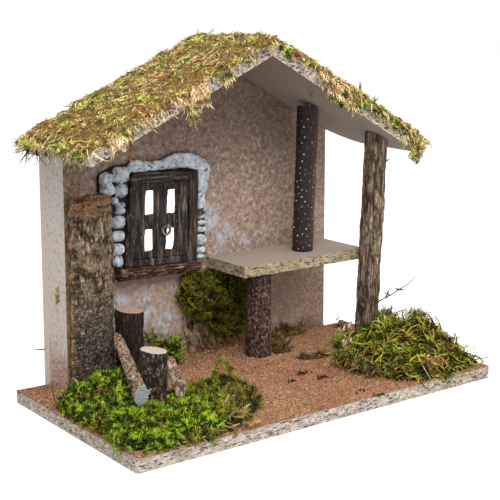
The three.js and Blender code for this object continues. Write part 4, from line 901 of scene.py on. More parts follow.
crumb_finish = toned("sawdust_crumbs", 1.0, [
    (0.0, "#27150b"), (0.22, "#683f28"), (0.5, "#a47452"), (0.75, "#cd9d77"),
    (0.92, "#e0b58e"), (1.0, "#efd8b6")])


def pick(piece, low, high):
    """Selects the points of a piece between two heights in millimetres."""
    with edit_mode():
        bpy.ops.mesh.select_all(action="DESELECT")
    for vertex in piece.data.vertices:
        vertex.select = low * MM < vertex.co.z < high * MM


def diamond(below, above):
    """Eight faces: a four-sided cone whose base is poked and its middle pulled out."""
    bpy.ops.object.select_all(action="DESELECT")
    bpy.ops.mesh.primitive_cone_add(
        vertices=4, radius1=0.5 * MM, depth=above * MM, location=(0, 0, 0.5 * above * MM))
    piece = bpy.context.active_object
    bpy.ops.object.transform_apply(location=True)
    pick(piece, -1, 0.1)
    with edit_mode():
        bpy.ops.mesh.poke(offset=below * MM)
        bpy.ops.mesh.select_all(action="SELECT")
    return piece


def crumb(width, depth, height):
    """A broken grain: a small diamond, squeezed and skewed in edit mode."""
    grain = diamond(0.5, 0.5)
    with edit_mode():
        bpy.ops.transform.resize(value=(width, depth, height))
        bpy.ops.transform.vertex_random(offset=0.16 * MM, seed=3)
    return flat_shape(grain)


dice = np.random.default_rng(21)
CRUMBS = 7400
SAWDUST_TOP = 9.1
along = dice.uniform(-148, 148, CRUMBS)
inward = dice.uniform(-77, 77.5, CRUMBS)
lying = np.stack([along, inward, np.full(CRUMBS, SAWDUST_TOP)], axis=1) * MM
crumb_shapes = [crumb(1.1, 0.8, 0.7), crumb(1.9, 0.7, 0.5), crumb(0.8, 0.8, 0.8)]
crumbs = copies("sawdust_crumbs", crumb_shapes, lying, dice.normal(size=(CRUMBS, 3)),
                dice.uniform(0.5, 1.35, CRUMBS), dice)
settle(crumbs, crumb_finish, "sawdust")

# %% [markdown]
# ## Moss shapes
# Moss is thousands of small repeats, so a few sprigs are modelled once. A leaf is a diamond
# of eight faces, stretched and bent in edit mode. A tuft is a handful of leaves round one
# root, a frond has pairs of leaflets on a midrib like a feather, and a strand is a curve
# with a thin bevel, made into a mesh.

# %% Model leaves, tufts, fronds and strands
def leaf(length, width, curl):
    blade = diamond(0.35, 0.65)
    with edit_mode():
        bpy.ops.transform.translate(value=(0, 0, 0.35 * MM))
        bpy.ops.transform.resize(value=(0.4 * width, width, length), center_override=(0, 0, 0))
    pick(blade, 0.1 * length, 0.8 * length)
    with edit_mode():
        bpy.ops.transform.translate(value=(curl * MM, 0, 0))
        bpy.ops.mesh.select_all(action="SELECT")
    return blade


def turn(blade, *turns, up=0.0):
    """Turns a leaf about the root, then moves it up the midrib."""
    only(blade)
    with edit_mode():
        for angle, axis in turns:
            bpy.ops.transform.rotate(value=angle, orient_axis=axis, center_override=(0, 0, 0))
        bpy.ops.transform.translate(value=(0, 0, up * MM))
    return blade


def joined(blades):
    only(blades[0])
    for blade in blades:
        blade.select_set(True)
    bpy.ops.object.join()
    return flat_shape(bpy.context.active_object)


def tuft(leaves, length, width, curl, spread):
    blades = []
    for number in range(leaves):
        tilt = 0.15 if number == 0 else spread * (0.75 + 0.25 * (number % 2))
        blades.append(turn(leaf(length * (1 - 0.07 * (number % 3)), width, curl),
                           (tilt, "Y"), (2.4 * number, "Z")))
    return joined(blades)


def frond(length, pairs, reach, width, bow=0.4):
    """A flat feather whose leaflets get shorter towards the tip."""
    blades = [leaf(length, 0.8 * width, bow)]
    for number in range(2 * pairs):
        share = (number // 2 + 0.5) / (pairs + 0.3)
        side = 1 if number % 2 else -1
        blades.append(turn(leaf(reach * (1 - 0.6 * share), width, 0.12), (side * 0.8, "X"),
                           up=0.85 * share * length))
    return joined(blades)


def stem(name, path, thick, thin):
    """A round stem through points in millimetres, closed at both ends."""
    curve = bpy.data.curves.new(name, "CURVE")
    curve.dimensions = "3D"
    curve.bevel_depth = MM
    curve.bevel_resolution = 0
    curve.use_fill_caps = True
    line = curve.splines.new("POLY")
    line.points.add(len(path) - 1)
    for number, (point, spot) in enumerate(zip(line.points, path)):
        point.co = (*[MM * c for c in spot], 1)
        point.radius = thick + (thin - thick) * number / (len(path) - 1)
    only(add_object(name, curve))
    bpy.ops.object.convert(target="MESH")
    return bpy.context.active_object


def strand(length, bend, thick, twist=0.0, steps=5):
    """A strand that starts straight up and bends over by an angle."""
    path, at = [(0, 0, 0)], np.zeros(3)
    for number in range(steps):
        angle = bend * (number + 0.5) / steps
        at = at + length / steps * np.array([math.sin(angle), twist * math.sin(2 * angle),
                                             math.cos(angle)])
        path.append(tuple(at))
    return flat_shape(stem("strand", path, thick, 0.4 * thick))


straws = [strand(10, 0.7, 0.5, steps=4), strand(8, 1.0, 0.6, 0.3, 4), strand(13, 1.1, 0.45, 0.2),
          strand(6, 0.5, 0.75, steps=3)]
curls = [strand(22, 3.0, 0.5, 0.25, 9), strand(16, 1.9, 0.58, -0.35, 7),
         strand(26, 4.6, 0.45, 0.4, 11), strand(12, 1.2, 0.6, 0.2, 5)]
ropes = [strand(24, 2.4, 0.95, 0.25, 8), strand(18, 1.7, 1.1, -0.35, 6),
         strand(30, 3.6, 0.85, 0.4, 10), strand(13, 1.0, 1.05, 0.2, 4)]
threads = [strand(14, 0.6, 0.34, 0.1), strand(10, -0.5, 0.4, 0.2), strand(18, 1.0, 0.3, 0.2, 6)]
fronds = [frond(8.5, 4, 2.6, 0.95), frond(6.5, 3, 2.4, 1.1), frond(10, 5, 2.2, 0.85, 0.9)]
ferns = [frond(6.5, 5, 1.7, 0.55, 0.9), frond(5, 4, 1.6, 0.55, 0.7), frond(8, 6, 1.6, 0.5, 1.3)]
leafy_tufts = [tuft(6, 3.2, 1.0, 0.6, 0.95), tuft(6, 2.6, 0.95, 0.55, 1.15),
               tuft(5, 4.2, 0.9, 0.8, 0.8)]
hair_tufts = [tuft(6, 5.0, 0.6, 0.6, 0.7), tuft(5, 4.0, 0.55, 0.5, 1.0)]
print("frond faces", len(fronds[0][1]), "strand faces", len(curls[0][1]))

# %% [markdown]
# ## Moss colours
# Living parts are green, dry ones straw or rust. Each sprig keeps a random tone, clouds on
# object coordinates make patches of like colour, and every sprig is painted darker at its
# root, a painted shade which is what gives moss its depth. Painted light brightens the clumps
# and painted shade darkens the gaps between them.

# %% Moss finishes
def moss(name, fresh, dry, patch=13, share=0.5, root=0.42, clump=7, painted_dim=0.55, painted_light=1.08):
    """Fresh and dry colours, the size of their patches, and the share of dry ones. Sprigs of
    one clump look alike. Each sprig is painted darker at its root as painted shade, painted
    light brightens the clumps, and painted shade darkens the gaps between them."""
    finish = Finish(name, 0.85)
    finish.shader.inputs["Specular IOR Level"].default_value = 0.15
    tone = finish.own("tone")
    drift = finish.plus(finish.cloud(patch, 3.0, 0.6), finish.times(tone, 0.16))
    border = 0.58 + 0.5 * (0.5 - share)
    is_dry = finish.fade(drift, border - 0.05, border + 0.05)
    step = finish.step("ShaderNodeTexWhiteNoise", [("W", tone)], noise_dimensions="1D")
    clumps = finish.cloud(clump, 3.0, 0.7)
    other = finish.plus(clumps, finish.times(step.outputs["Value"], 0.26))
    other = finish.fade(other, 0.44, 0.79)
    live = finish.mix(is_dry, finish.ramp(other, fresh), finish.ramp(other, dry))
    veins = finish.fade(finish.cloud(0.9, 3.0), 0.3, 0.7, 1.15, 0.78)
    # Painted shade at each sprig's root and between the clumps, painted light on the clumps.
    shade = finish.times(finish.fade(finish.own("tip"), 0.0, 0.6, 1.0, root), veins)
    shade = finish.times(shade, finish.fade(clumps, 0.4, 0.54, painted_light, painted_dim))
    grey = finish.step("ShaderNodeCombineColor", [(0, shade), (1, shade), (2, shade)]).outputs[0]
    finish.colour(finish.mix(1.0, live, grey, "MULTIPLY"))
    finish.bump(veins, 0.2, 0.5)
    return finish


def bed_finish(name, stops):
    finish = Finish(name, 1.0)
    fine = finish.cloud(1.6, 6.0, 0.8)
    finish.colour(finish.ramp(fine, stops))
    finish.bump(fine, 1.2, 1.0)
    return finish


dry_bed = bed_finish("dry_moss_bed", [(0.35, "#33260f"), (0.5, "#7a602c"), (0.65, "#c0a25a")])
dusty_bed = bed_finish("dusty_bed", [(0.35, "#3d2814"), (0.5, "#6d4a2c"), (0.65, "#956c47")])
green_bed = bed_finish("green_moss_bed", [(0.35, "#0e1104"), (0.5, "#232b0a"), (0.65, "#434d14")])
brown_bed = bed_finish("brown_moss_bed", [(0.35, "#120c05"), (0.5, "#2c200c"), (0.65, "#4d3f18")])
straw_moss = moss(
    "straw_moss",
    [(0.0, "#6e651c"), (0.2, "#b0a544"), (0.45, "#ded274"), (0.7, "#faf0b2"), (1.0, "#a6ac3e")],
    [(0.0, "#6b4526"), (0.12, "#a8733c"), (0.3, "#d6aa6a"), (0.5, "#f2d4a0"), (0.7, "#f8e7bb"),
     (0.86, "#bd733c"), (1.0, "#f8ecca")], 14, 0.55, 0.66, 7, 0.42, 1.28)
roof_green = moss(
    "roof_green_moss",
    [(0.0, "#5f6618"), (0.2, "#a0a834"), (0.45, "#d0d356"), (0.7, "#f4ee92"), (1.0, "#a8bc3c")],
    [(0.0, "#7a5226"), (0.2, "#c29652"), (0.45, "#edca88"), (0.7, "#fdeebe"), (1.0, "#b86c34")],
    16, 0.52, 0.66, 7, 0.42, 1.3)
for finish in (straw_moss, roof_green):
    finish.shader.inputs["Sheen Weight"].default_value = 0.1
leaf_green = moss(
    "leaf_green_moss",
    [(0.0, "#253a02"), (0.3, "#4f7207"), (0.6, "#7fa512"), (0.85, "#a6c426"), (1.0, "#c2d446")],
    [(0.0, "#201b03"), (0.3, "#4a450c"), (0.6, "#7a7518"), (0.85, "#b0a83c"), (1.0, "#80602a")],
    17, 0.36, 0.14, 5.5, 0.15, 1.14)
hump_green = moss(
    "hump_green_moss",
    [(0.0, "#43440a"), (0.3, "#6c6c14"), (0.6, "#939122"), (0.85, "#bcb648"), (1.0, "#7e9020")],
    [(0.0, "#30210a"), (0.3, "#67501c"), (0.6, "#957a34"), (0.85, "#c4a860"), (1.0, "#767222")],
    14, 0.45, 0.16, 6, 0.2, 1.24)
curl_green = moss(
    "curl_green_moss",
    [(0.0, "#303a06"), (0.25, "#606b12"), (0.5, "#8c951f"), (0.75, "#a9ae34"), (1.0, "#c0bf48")],
    [(0.0, "#261905"), (0.25, "#4e380f"), (0.5, "#7a5a1c"), (0.75, "#a68032"), (0.9, "#827826"),
     (1.0, "#b8924a")], 17, 0.38, 0.26, 9, 0.5, 1.12)
dark_green = moss(
    "dark_green_moss",
    [(0.0, "#1a2204"), (0.3, "#37400b"), (0.6, "#5a6416"), (0.85, "#84882a"), (1.0, "#4a540f")],
    [(0.0, "#1c1305"), (0.3, "#40320d"), (0.6, "#664f20"), (0.85, "#8f7434"), (1.0, "#5e3b18")],
    18, 0.5, 0.3, 7, 0.2, 1.25)
dark_bits = toned("dark_bits", 0.95, [(0.0, "#1c120b"), (0.6, "#41291a"), (1.0, "#6d452b")])


def over(normals, lift, generator, along=None, bias=0.0, spread=0.15):
    """Headings that rise from the surface by lift (0 lies flat, 1 stands upright)."""
    free = generator.normal(size=normals.shape)
    if along is not None:
        free = free + bias * np.array(along)
    flat = free - normals * (free * normals).sum(1)[:, None]
    flat /= np.linalg.norm(flat, axis=1)[:, None]
    spread = min(spread, 0.6 * lift)
    lift = np.clip(lift + spread * generator.normal(size=len(normals)), 0, 1)[:, None]
    return normals * lift + flat * np.sqrt(1 - lift ** 2)


def bed(node, finish, slot, depth, lump, sink=0.0, seed=0, hollows=()):
    """The felt of old stems under the living sprigs, carved from the CAD cushion. A hollow is
    a middle, a radius and a height in millimetres, above which the felt is pressed down."""
    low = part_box(node)[0].z / MM
    piece = block(node, node + "_bed", 1.7)
    carve(piece, lambda p: ripples(p, (lump, lump, lump), seed) - sink, depth,
          lambda p, n: np.clip((p[:, 2] - low - 0.4) / 3, 0, 1) * (n[:, 2] > -0.6))
    points, _ = points_of(piece.data)
    for x, y, radius, top in hollows:
        far = np.hypot(points[:, 0] - x, points[:, 1] - y)
        points[:, 2] = np.minimum(points[:, 2], top + 0.9 * np.maximum(0, far - radius))
    piece.data.vertices.foreach_set("co", (points * MM).ravel())
    settle(piece, finish, slot, node)
    return piece


ROOT_DEPTH = 0.4
FLAT_RISE = 0.12


def grow(felt, name, shapes, count, finish, seed, lift, sizes, weight=None,
         lean=(0, 0, -1, 0.35), along=None, bias=0.0, flat=None, lying=0.0, slot="green_moss"):
    """Grows sprigs on a bed. The lean is a direction and a share, to which their undersides
    turn. Moss on a board is pressed flat: given the board's normal, no sprig rises far from
    it. Lying is how strictly a strand bends within the surface, as a curl that lies flat."""
    dice = np.random.default_rng(seed)
    roots, normals = spots(felt, count, dice, weight)
    headings = over(normals, lift, dice, along, bias)
    if flat:
        steep = normals[:, 2] < 0.6
        headings[steep, 2] = -np.abs(headings[steep, 2])
        rise = headings @ np.array(flat)
        headings -= np.outer(np.maximum(rise - FLAT_RISE, 0), flat)
    if lying:
        side = np.cross(normals, headings) * dice.choice([-1, 1], size=(count, 1))
        lean = np.concatenate([side, np.full((count, 1), lying)], axis=1)
    grown = copies(felt.name.replace("bed", name), shapes, roots - normals * ROOT_DEPTH * MM,
                   headings, dice.uniform(*sizes, count), dice, lean)
    settle(grown, finish, slot)


print("moss finishes ready")

# %% [markdown]
# ## Roof moss
# Dry moss was pressed onto the glued roof, so its strands lie flat and mostly run along the
# slope, straw and rust among green. A first layer of strands covers the bed, and leafy
# tufts in looser patches lie over them.

# %% Grow the roof moss
def patchy(cell, low, seed, steep=4):
    """Chooses faces inside patches of moss."""
    def weight(centres, normals):
        cloud = np.array([noise.noise(scaled(Vector(c), (cell, cell, cell), seed))
                          for c in centres])
        return np.clip((cloud - low) * steep, 0.02, 1) * (normals[:, 2] > 0)
    return weight


def upward(centres, normals):
    return normals[:, 2] > 0


bits = [crumb(5, 1.3, 0.9), crumb(3, 1.6, 1.0)]
for node, tilt, up, seed, sink in (("roof_moss_left", LEFT_TILT, LEFT_UP, 31, 0.6),
                                   ("roof_moss_right", RIGHT_TILT, RIGHT_UP, 35, 0.4)):
    felt = bed(node, dry_bed, "dry_moss", 2.3, 9, sink, seed)
    side = math.copysign(1, tilt)
    along = (side * math.cos(tilt), 0, -side * math.sin(tilt))
    down = (-up[0], 0, -up[2], 0.8)
    for name, shapes, count, finish, extra, lift, sizes, weight, bias in (
            ("fronds", fronds, 1500, roof_green, 0, 0.08, (0.7, 1.3), patchy(6, -0.15, 4, 6), 0.8),
            ("straw", straws, 1850, straw_moss, 1, 0.08, (0.6, 1.1), upward, 1.0),
            ("leaves", leafy_tufts, 1300, roof_green, 2, 0.12, (0.8, 1.35),
             patchy(15, 0.05, 9), 0.8)):
        grow(felt, name, shapes, count, finish, seed + extra, lift, sizes, weight, down, along,
             bias, up, slot="dry_moss")
    grow(felt, "bits", bits, 60, dark_bits, seed + 3, 0.9, (0.8, 1.4), upward, (*along, 0.7),
         slot="bark")

# %% [markdown]
# ## Fringe of the roof moss
# Here and there the moss hangs over the boards' front edges in clumps, with bare chipboard
# between them. Each clump is a bunch of straws, threads or leafy tufts, rooted along a
# stretch of the edge and drooping under their own weight.

# %% Hang the fringe
ROOF_TOP = 8.5
RIDGE_X, RIDGE_Z = 9.7, 232.7


def edge_point(tilt, along, height):
    """A place on a roof board's front edge: how far from the ridge and how high up."""
    return (RIDGE_X + along * math.cos(tilt) + height * math.sin(tilt),
            RIDGE_Z - along * math.sin(tilt) + height * math.cos(tilt))


def fringe(name, tilt, clumps, finish, shapes, seed, lean=(0, 0.3, -1, 0.6)):
    """clumps: where along the edge a clump starts and ends, how many sprigs, their size, how
    steeply they hang and, if it is deep, how far down the board's edge they are rooted."""
    dice = np.random.default_rng(seed)
    roots, headings, sizes = [], [], []
    for start, end, count, size, down, *depth in clumps:
        for _ in range(count):
            low = dice.uniform(-2.5, *(depth or [3.5]))
            x, z = edge_point(tilt, dice.uniform(start, end), ROOF_TOP - low)
            roots.append((x, dice.uniform(-3.6, -1.2), z))
            headings.append((0.22 * dice.normal(), -0.35 + 0.15 * dice.normal(), -down))
            sizes.append(size * dice.uniform(0.6, 1.2))
    grown = copies("roof_fringe_" + name, shapes, np.array(roots) * MM, np.array(headings),
                   np.array(sizes), dice, lean)
    settle(grown, finish, "dry_moss")


fringe("left_straw", LEFT_TILT, [
    (-140, -122, 70, 0.75, 0.3), (-122, -98, 50, 0.5, 0.1), (-98, -76, 50, 0.55, 0.12),
    (-77, -58, 170, 0.65, 0.6, 9), (-46, -36, 50, 0.6, 0.3, 6), (-30, 6, 50, 0.4, 0.1)],
    straw_moss, straws, 41)
fringe("left_threads", LEFT_TILT, [
    (-138, -126, 14, 0.5, 0.8), (-76, -60, 60, 0.6, 1.6, 9), (-76, -69, 44, 0.85, 2.4, 12),
    (-45, -37, 14, 0.5, 1.0)], straw_moss, threads, 45, (0, 0, -1, 0))
fringe("left_leaves", LEFT_TILT, [
    (-140, -124, 50, 0.8, 0.4), (-112, -86, 30, 0.6, 0.2), (-77, -58, 120, 0.9, 0.9, 9),
    (-75, -69, 40, 0.8, 1.2, 15), (-46, -36, 50, 0.9, 0.6, 6), (-10, 6, 20, 0.6, 0.1)],
    roof_green, leafy_tufts, 42)
fringe("right_straw", RIGHT_TILT, [
    (14, 40, 40, 0.45, 0.1), (40, 58, 80, 0.65, 0.3, 5), (54, 86, 190, 0.75, 0.5, 7),
    (92, 130, 36, 0.4, 0.1), (136, 160, 130, 0.7, 0.6, 7)], straw_moss, straws, 43)
fringe("right_threads", RIGHT_TILT, [
    (40, 56, 24, 0.5, 0.6), (56, 84, 80, 0.55, 1.2, 7), (148, 160, 60, 0.6, 1.8, 12)],
    straw_moss, threads, 46, (0, 0, -1, 0))
fringe("right_leaves", RIGHT_TILT, [
    (4, 12, 22, 0.8, 0.4), (56, 90, 80, 0.9, 0.4), (100, 132, 20, 0.7, 0.1),
    (140, 161, 110, 1.1, 1.0), (150, 161, 120, 1.0, 1.2, 15)], roof_green, leafy_tufts, 44)
fringe("right_green", RIGHT_TILT, [
    (4, 12, 16, 0.9, 0.5), (60, 71, 130, 1.1, 1.2, 11), (74, 92, 60, 1.0, 0.3),
    (100, 140, 60, 0.9, 0.0), (150, 160, 40, 1.0, 1.2, 15)], leaf_green, leafy_tufts, 47)

# %% [markdown]
# ## Ground moss
# The left cushion is fresh leafy moss: short curled leaves in round clumps with dark gaps.
# The right heap is stringy moss, long curls that loop over each other. Both sit in the hollow
# between the wood pieces, where the CAD solids keep their place free.

# %% Grow the ground moss
FLOOR = 9.6


def above_floor(centres, normals):
    return (normals[:, 2] > -0.35) & (centres[:, 2] > FLOOR)


def clumped(cell, low, seed, where=above_floor):
    """Faces above the floor that lie inside small clumps, so that gaps stay between them."""
    inside = patchy(cell, low, seed, 6)
    return lambda c, n: np.maximum(inside(c, np.abs(n)), 0.02) * where(c, n)


WOOD = ((-104, -24, 13, 12.0), (-89, -16, 11, 12.0), (-72, -16, 12, 11.5), (-112, -10, 6, 13.0))
left_ground = bed("ground_moss_left", green_bed, "green_moss", 3.0, 9, 0.6, 5, WOOD)


def beside_wood(c, n):
    clear = np.ones(len(c), bool)
    for x, y, radius, _ in WOOD:
        clear &= np.hypot(c[:, 0] - x, c[:, 1] - y) > radius - 4
    return above_floor(c, n) & clear


def left_part(c, n):
    return beside_wood(c, n) & (c[:, 0] < -60)


def right_part(c, n):
    return beside_wood(c, n) & (c[:, 0] > -66)


for name, shapes, count, finish, seed, lift, sizes, weight, lean in (
        ("leaves", leafy_tufts, 2400, leaf_green, 51, 0.7, (0.7, 1.2),
         clumped(5.5, -0.05, 3, left_part), 0.35),
        ("ferns", ferns, 1300, leaf_green, 57, 0.6, (0.7, 1.3),
         clumped(6, -0.02, 8, left_part), 0.7),
        ("low", leafy_tufts, 500, leaf_green, 56, 0.4, (0.4, 0.8), above_floor, 0.35),
        ("hollow", leafy_tufts, 260, leaf_green, 55, 0.4, (0.5, 0.95),
         lambda c, n: above_floor(c, n) & ~beside_wood(c, n), 0.35),
        ("hump", ferns, 850, hump_green, 52, 0.6, (0.7, 1.3),
         clumped(5.5, -0.1, 3, right_part), 0.7),
        ("loops", curls, 400, hump_green, 58, 0.5, (0.25, 0.55),
         clumped(9, -0.1, 2, beside_wood), 0.7)):
    grow(left_ground, name, shapes, count, finish, seed, lift, sizes, weight, (0, 0, -1, lean))
right_ground = bed("ground_moss_right", brown_bed, "green_moss", 2.8, 10, 0.9, 7)
grow(right_ground, "ropes", ropes, 950, curl_green, 53, 0.24, (0.4, 0.85),
     clumped(7, -0.1, 6), lying=0.75)
grow(right_ground, "curls", curls, 1000, curl_green, 59, 0.32, (0.42, 0.85),
     clumped(6, -0.1, 11), (0, 0, -1, 0.6))
grow(right_ground, "fronds", ferns, 560, curl_green, 54, 0.5, (0.7, 1.2), clumped(8, 0.0, 5))

# %% [markdown]
# ## Moss on the wall and small clumps
# The moss under the sill is darker, finer and hangs like hair. The small clumps at the foot
# of the wall and the posts are grown the same way, each from its own bed.

# %% Grow the small moss pieces
def off_wall(centres, normals):
    return normals[:, 1] < 0.5


def hanging(centres, normals):
    return (centres[:, 2] < 40) * (normals[:, 1] < 0.4)


wall_bed = bed("wall_moss", brown_bed, "green_moss", 1.9, 6, 0.8, 9)
grow(wall_bed, "hair", hair_tufts, 1200, dark_green, 61, 0.5, (0.6, 1.4),
     clumped(5, -0.1, 4, off_wall), (0, 0, -1, 0.8))
grow(wall_bed, "ferns", ferns, 700, hump_green, 67, 0.3, (0.7, 1.4),
     clumped(9, 0.0, 6, off_wall), (0, 1, 0, 0.7))
grow(wall_bed, "curls", curls, 320, hump_green, 69, 0.25, (0.35, 0.7),
     clumped(7, -0.05, 2, off_wall), lying=0.7)
grow(wall_bed, "threads", threads, 260, dark_green, 68, 0.3, (0.5, 1.1), hanging,
     (0, 0, -1, 0.9))
foot_moss = moss(
    "foot_moss", [(0.0, "#2c2a0a"), (0.5, "#5f5f22"), (1.0, "#93934a")],
    [(0.0, "#3a2614"), (0.35, "#6b4c2c"), (0.7, "#97774c"), (1.0, "#c0a474")], 9, 0.6, 0.5)
for node, count, seed, finish, felt_finish, sink in (
        ("wall_foot_moss", 260, 62, leaf_green, brown_bed, 1.3),
        ("loft_foot_moss", 220, 63, foot_moss, dusty_bed, 1.1),
        ("post_foot_moss", 170, 64, foot_moss, dusty_bed, 1.2),
        ("floor_tuft", 110, 65, foot_moss, dusty_bed, 1.0)):
    clump = bed(node, felt_finish, "green_moss", 3.4, 6, sink, seed)
    grow(clump, "leaves", ferns, count, finish, seed, 0.5, (0.6, 1.3), above_floor)

# %% [markdown]
# ## Twigs and the chip
# The stem under the roof and the chip of bark keep their CAD shapes. The twig in the right
# moss is drawn again as a thinner, branched stem, and gets its tiny leaves further on. Five
# smaller twigs are drawn the same way.

# %% Twigs and the chip
twig_finish = clouded("thin_twig", 0.85, [(0.35, "#1f1d0e"), (0.5, "#3d3b1c"),
                                          (0.65, "#625a30")], 1.5)
dress("roof_stem", clouded("rust_stem", 0.85, [(0.35, "#3c1c10"), (0.5, "#6e3822"),
                                               (0.68, "#95593a")], 1.8))
dress("bark_chip", clouded("orange_chip", 0.9, [(0.35, "#7a4a2c"), (0.5, "#b07a50"),
                                                (0.68, "#d3a67c")], 1.6, 5.0, grain=(3, 1, 1)))


def wisps(name, paths, thick, thin, finish, slot, *replaced):
    """Thin stems through points in millimetres, joined into one piece."""
    stems = [stem(name + "_one", path, thick, thin) for path in paths]
    tones = np.concatenate([np.full(len(one.data.vertices), (number + 0.5) / len(stems))
                            for number, one in enumerate(stems)])
    only(stems[0])
    for one in stems:
        one.select_set(True)
    bpy.ops.object.join()
    piece = bpy.context.active_object
    piece.name = name
    store(piece.data, "tone", tones)
    store(piece.data, "tip", np.ones(len(tones)))
    settle(piece, finish, slot, *replaced)


wisps("moss_twig_stem", [
    [(115.5, 10, 40), (121, 9, 43.4), (127, 8, 45.4), (133, 7, 47.4), (138.7, 6, 50.3),
     (147.4, 4, 54.2), (151, 3, 57), (153.2, 2, 60)],
    [(127, 8, 45.4), (129, 7.4, 49), (130, 7, 51.5)],
    [(138.7, 6, 50.3), (141.5, 5, 50.6), (143.5, 4, 49.6)]],
    0.6, 0.35, twig_finish, "bark", "moss_twig")
wisps("small_twigs", [
    [(147, -3, 27), (149.5, -4, 29), (151.2, -4.8, 30.5), (153, -6, 32)],
    [(113, 40, 14), (111.5, 40, 20), (109, 40, 24), (107, 40, 30)],
    [(-122.6, 85.5, 31), (-125.3, 86, 31.2), (-127.4, 86, 31.6), (-130, 86, 31.9)],
    [(-142.4, 33, 10), (-143.5, 34, 15), (-143, 36, 19), (-142.2, 39, 21)],
    [(-142.4, 26, 10), (-144, 27, 14), (-143.4, 30, 17)]],
    0.45, 0.3, twig_finish, "bark")

# %% [markdown]
# ## Small finds
# Loose bits give the real thing its charm: an arched frond, golden straws, sprigs that hang
# over the board's edges, dark crumbs on the floor and pale splinters by the post. Each is
# placed in small listed bunches, with the same shapes as the moss around it.

# %% Place the small finds
BASE_EDGE = -78.3


def bunches(name, shapes, places, finish, slot, seed, lean=(0, 0, -1, 0.5)):
    """places: middle, spread, how many, heading, size, in millimetres. No sprig is rooted in
    front of the base's edge."""
    dice = np.random.default_rng(seed)
    roots, headings, sizes = [], [], []
    for middle, spread, count, heading, size in places:
        scatter = np.clip(dice.normal(size=(count, 3)), -1.8, 1.8)
        root = np.array(middle) + scatter * np.array(spread)
        root[:, 1] = np.maximum(root[:, 1], BASE_EDGE)
        roots.append(root)
        headings.append(np.array(heading) + 0.35 * dice.normal(size=(count, 3)))
        sizes.append(size * dice.uniform(0.7, 1.2, count))
    piece = copies(name, shapes, np.concatenate(roots) * MM, np.concatenate(headings),
                   np.concatenate(sizes), dice, lean)
    settle(piece, finish, slot)


golden = moss("golden_straw", [(0.0, "#8d6d2c"), (0.5, "#bd9a56"), (1.0, "#dcc48a")],
              [(0.0, "#7e5728"), (0.5, "#b2884e"), (1.0, "#d4b47e")], 9, 0.4, 0.6)
rusty = moss("rusty_curl", [(0.0, "#a8662c"), (0.5, "#cc8c45"), (1.0, "#e6b878")],
             [(0.0, "#7d4a22"), (0.5, "#b0753c"), (1.0, "#d9a868")], 9, 0.5, 0.6)
wisps("arched_frond_stem", [
    [(-58, -25, 23), (-57, -25, 30), (-55, -25, 34.5), (-51, -25, 37), (-47.5, -25, 35),
     (-45, -25, 30)]], 0.6, 0.4, hump_green, "green_moss")
bunches("arched_frond_leaves", ferns, [
    ((-57, -25, 29), (0.5, 0.5, 1.6), 30, (-0.3, -0.3, 0.8), 0.7),
    ((-51, -25, 36), (2.6, 0.5, 0.6), 46, (0.5, -0.3, 0.2), 0.7),
    ((-46.2, -25, 32), (0.8, 0.5, 1.8), 32, (0.4, -0.3, -0.8), 0.7)], curl_green, "green_moss", 71)
bunches("golden_straws", fronds, [
    ((-77, -66, 22), (2.2, 2.2, 1), 16, (0.1, -0.4, 0.5), 0.95),
    ((-73, -71, 18), (2.5, 2, 1), 22, (0.5, -0.5, 0.2), 1.0),
    ((-69, -76, 13), (3, 1.2, 1), 16, (0.7, -0.4, 0.0), 0.85),
    ((94, -68, 20), (2.5, 2.5, 1), 22, (0.2, -0.7, 0.3), 0.9),
    ((61, -36, 13), (3, 3, 1), 10, (-0.3, -0.7, 0.3), 0.6)], golden, "dry_moss", 72)
wisps("long_straws", [
    [(95, -58, 23), (92, -64, 21), (90, -71, 16), (89, -78, 10.5)],
    [(102, -64, 22), (98, -66, 22.5), (95, -69, 19.5), (94, -73, 14)]], 0.65, 0.4, golden,
    "dry_moss")
bunches("golden_curls", curls, [((-74, -70, 19), (3, 2, 1.5), 34, (0.3, -0.8, 0.4), 0.42)],
        golden, "dry_moss", 89)
bunches("brown_fibres", straws, [
    ((-105, -75, 12), (13, 2, 1.2), 90, (0.6, -0.5, 0.1), 0.7),
    ((63, -25, 16), (3, 9, 3), 130, (-0.6, -0.4, 0.1), 0.8),
    ((70, -44, 14), (6, 6, 2), 110, (-0.7, -0.4, 0.0), 0.75),
    ((80, -63, 12), (7, 4, 1), 60, (-0.4, -0.7, 0.0), 0.6),
    ((-128, 20, 13), (4, 6, 1.5), 40, (-0.7, -0.3, 0.2), 0.6)], foot_moss, "green_moss", 73)
bunches("rusty_curls", curls, [((102, -68, 17), (3, 2.5, 1.5), 24, (0.3, -0.8, 0.5), 0.6)],
        rusty, "dry_moss", 74)
bunches("foot_ferns", fronds, [
    ((-45, 66, 28), (3.5, 2, 2.5), 60, (-0.6, -0.4, 0.5), 0.9),
    ((-31, 64, 24), (6, 2.5, 3), 60, (0.2, -0.5, 0.5), 0.8)], leaf_green, "green_moss", 87)
bunches("wall_strands", ferns, [
    ((-5, 77.8, 34), (5, 0.3, 5), 80, (0.1, -0.4, -0.8), 0.75), ((3.5, 77.8, 19), (8, 0.3, 5), 150,
     (0.1, -0.4, -0.8), 0.7), ((16, 77.5, 11.5), (9, 0.5, 1.6), 90, (0.1, -0.6, 0.2), 0.7)],
    foot_moss, "green_moss", 85, (0, 1, 0, 0.7))
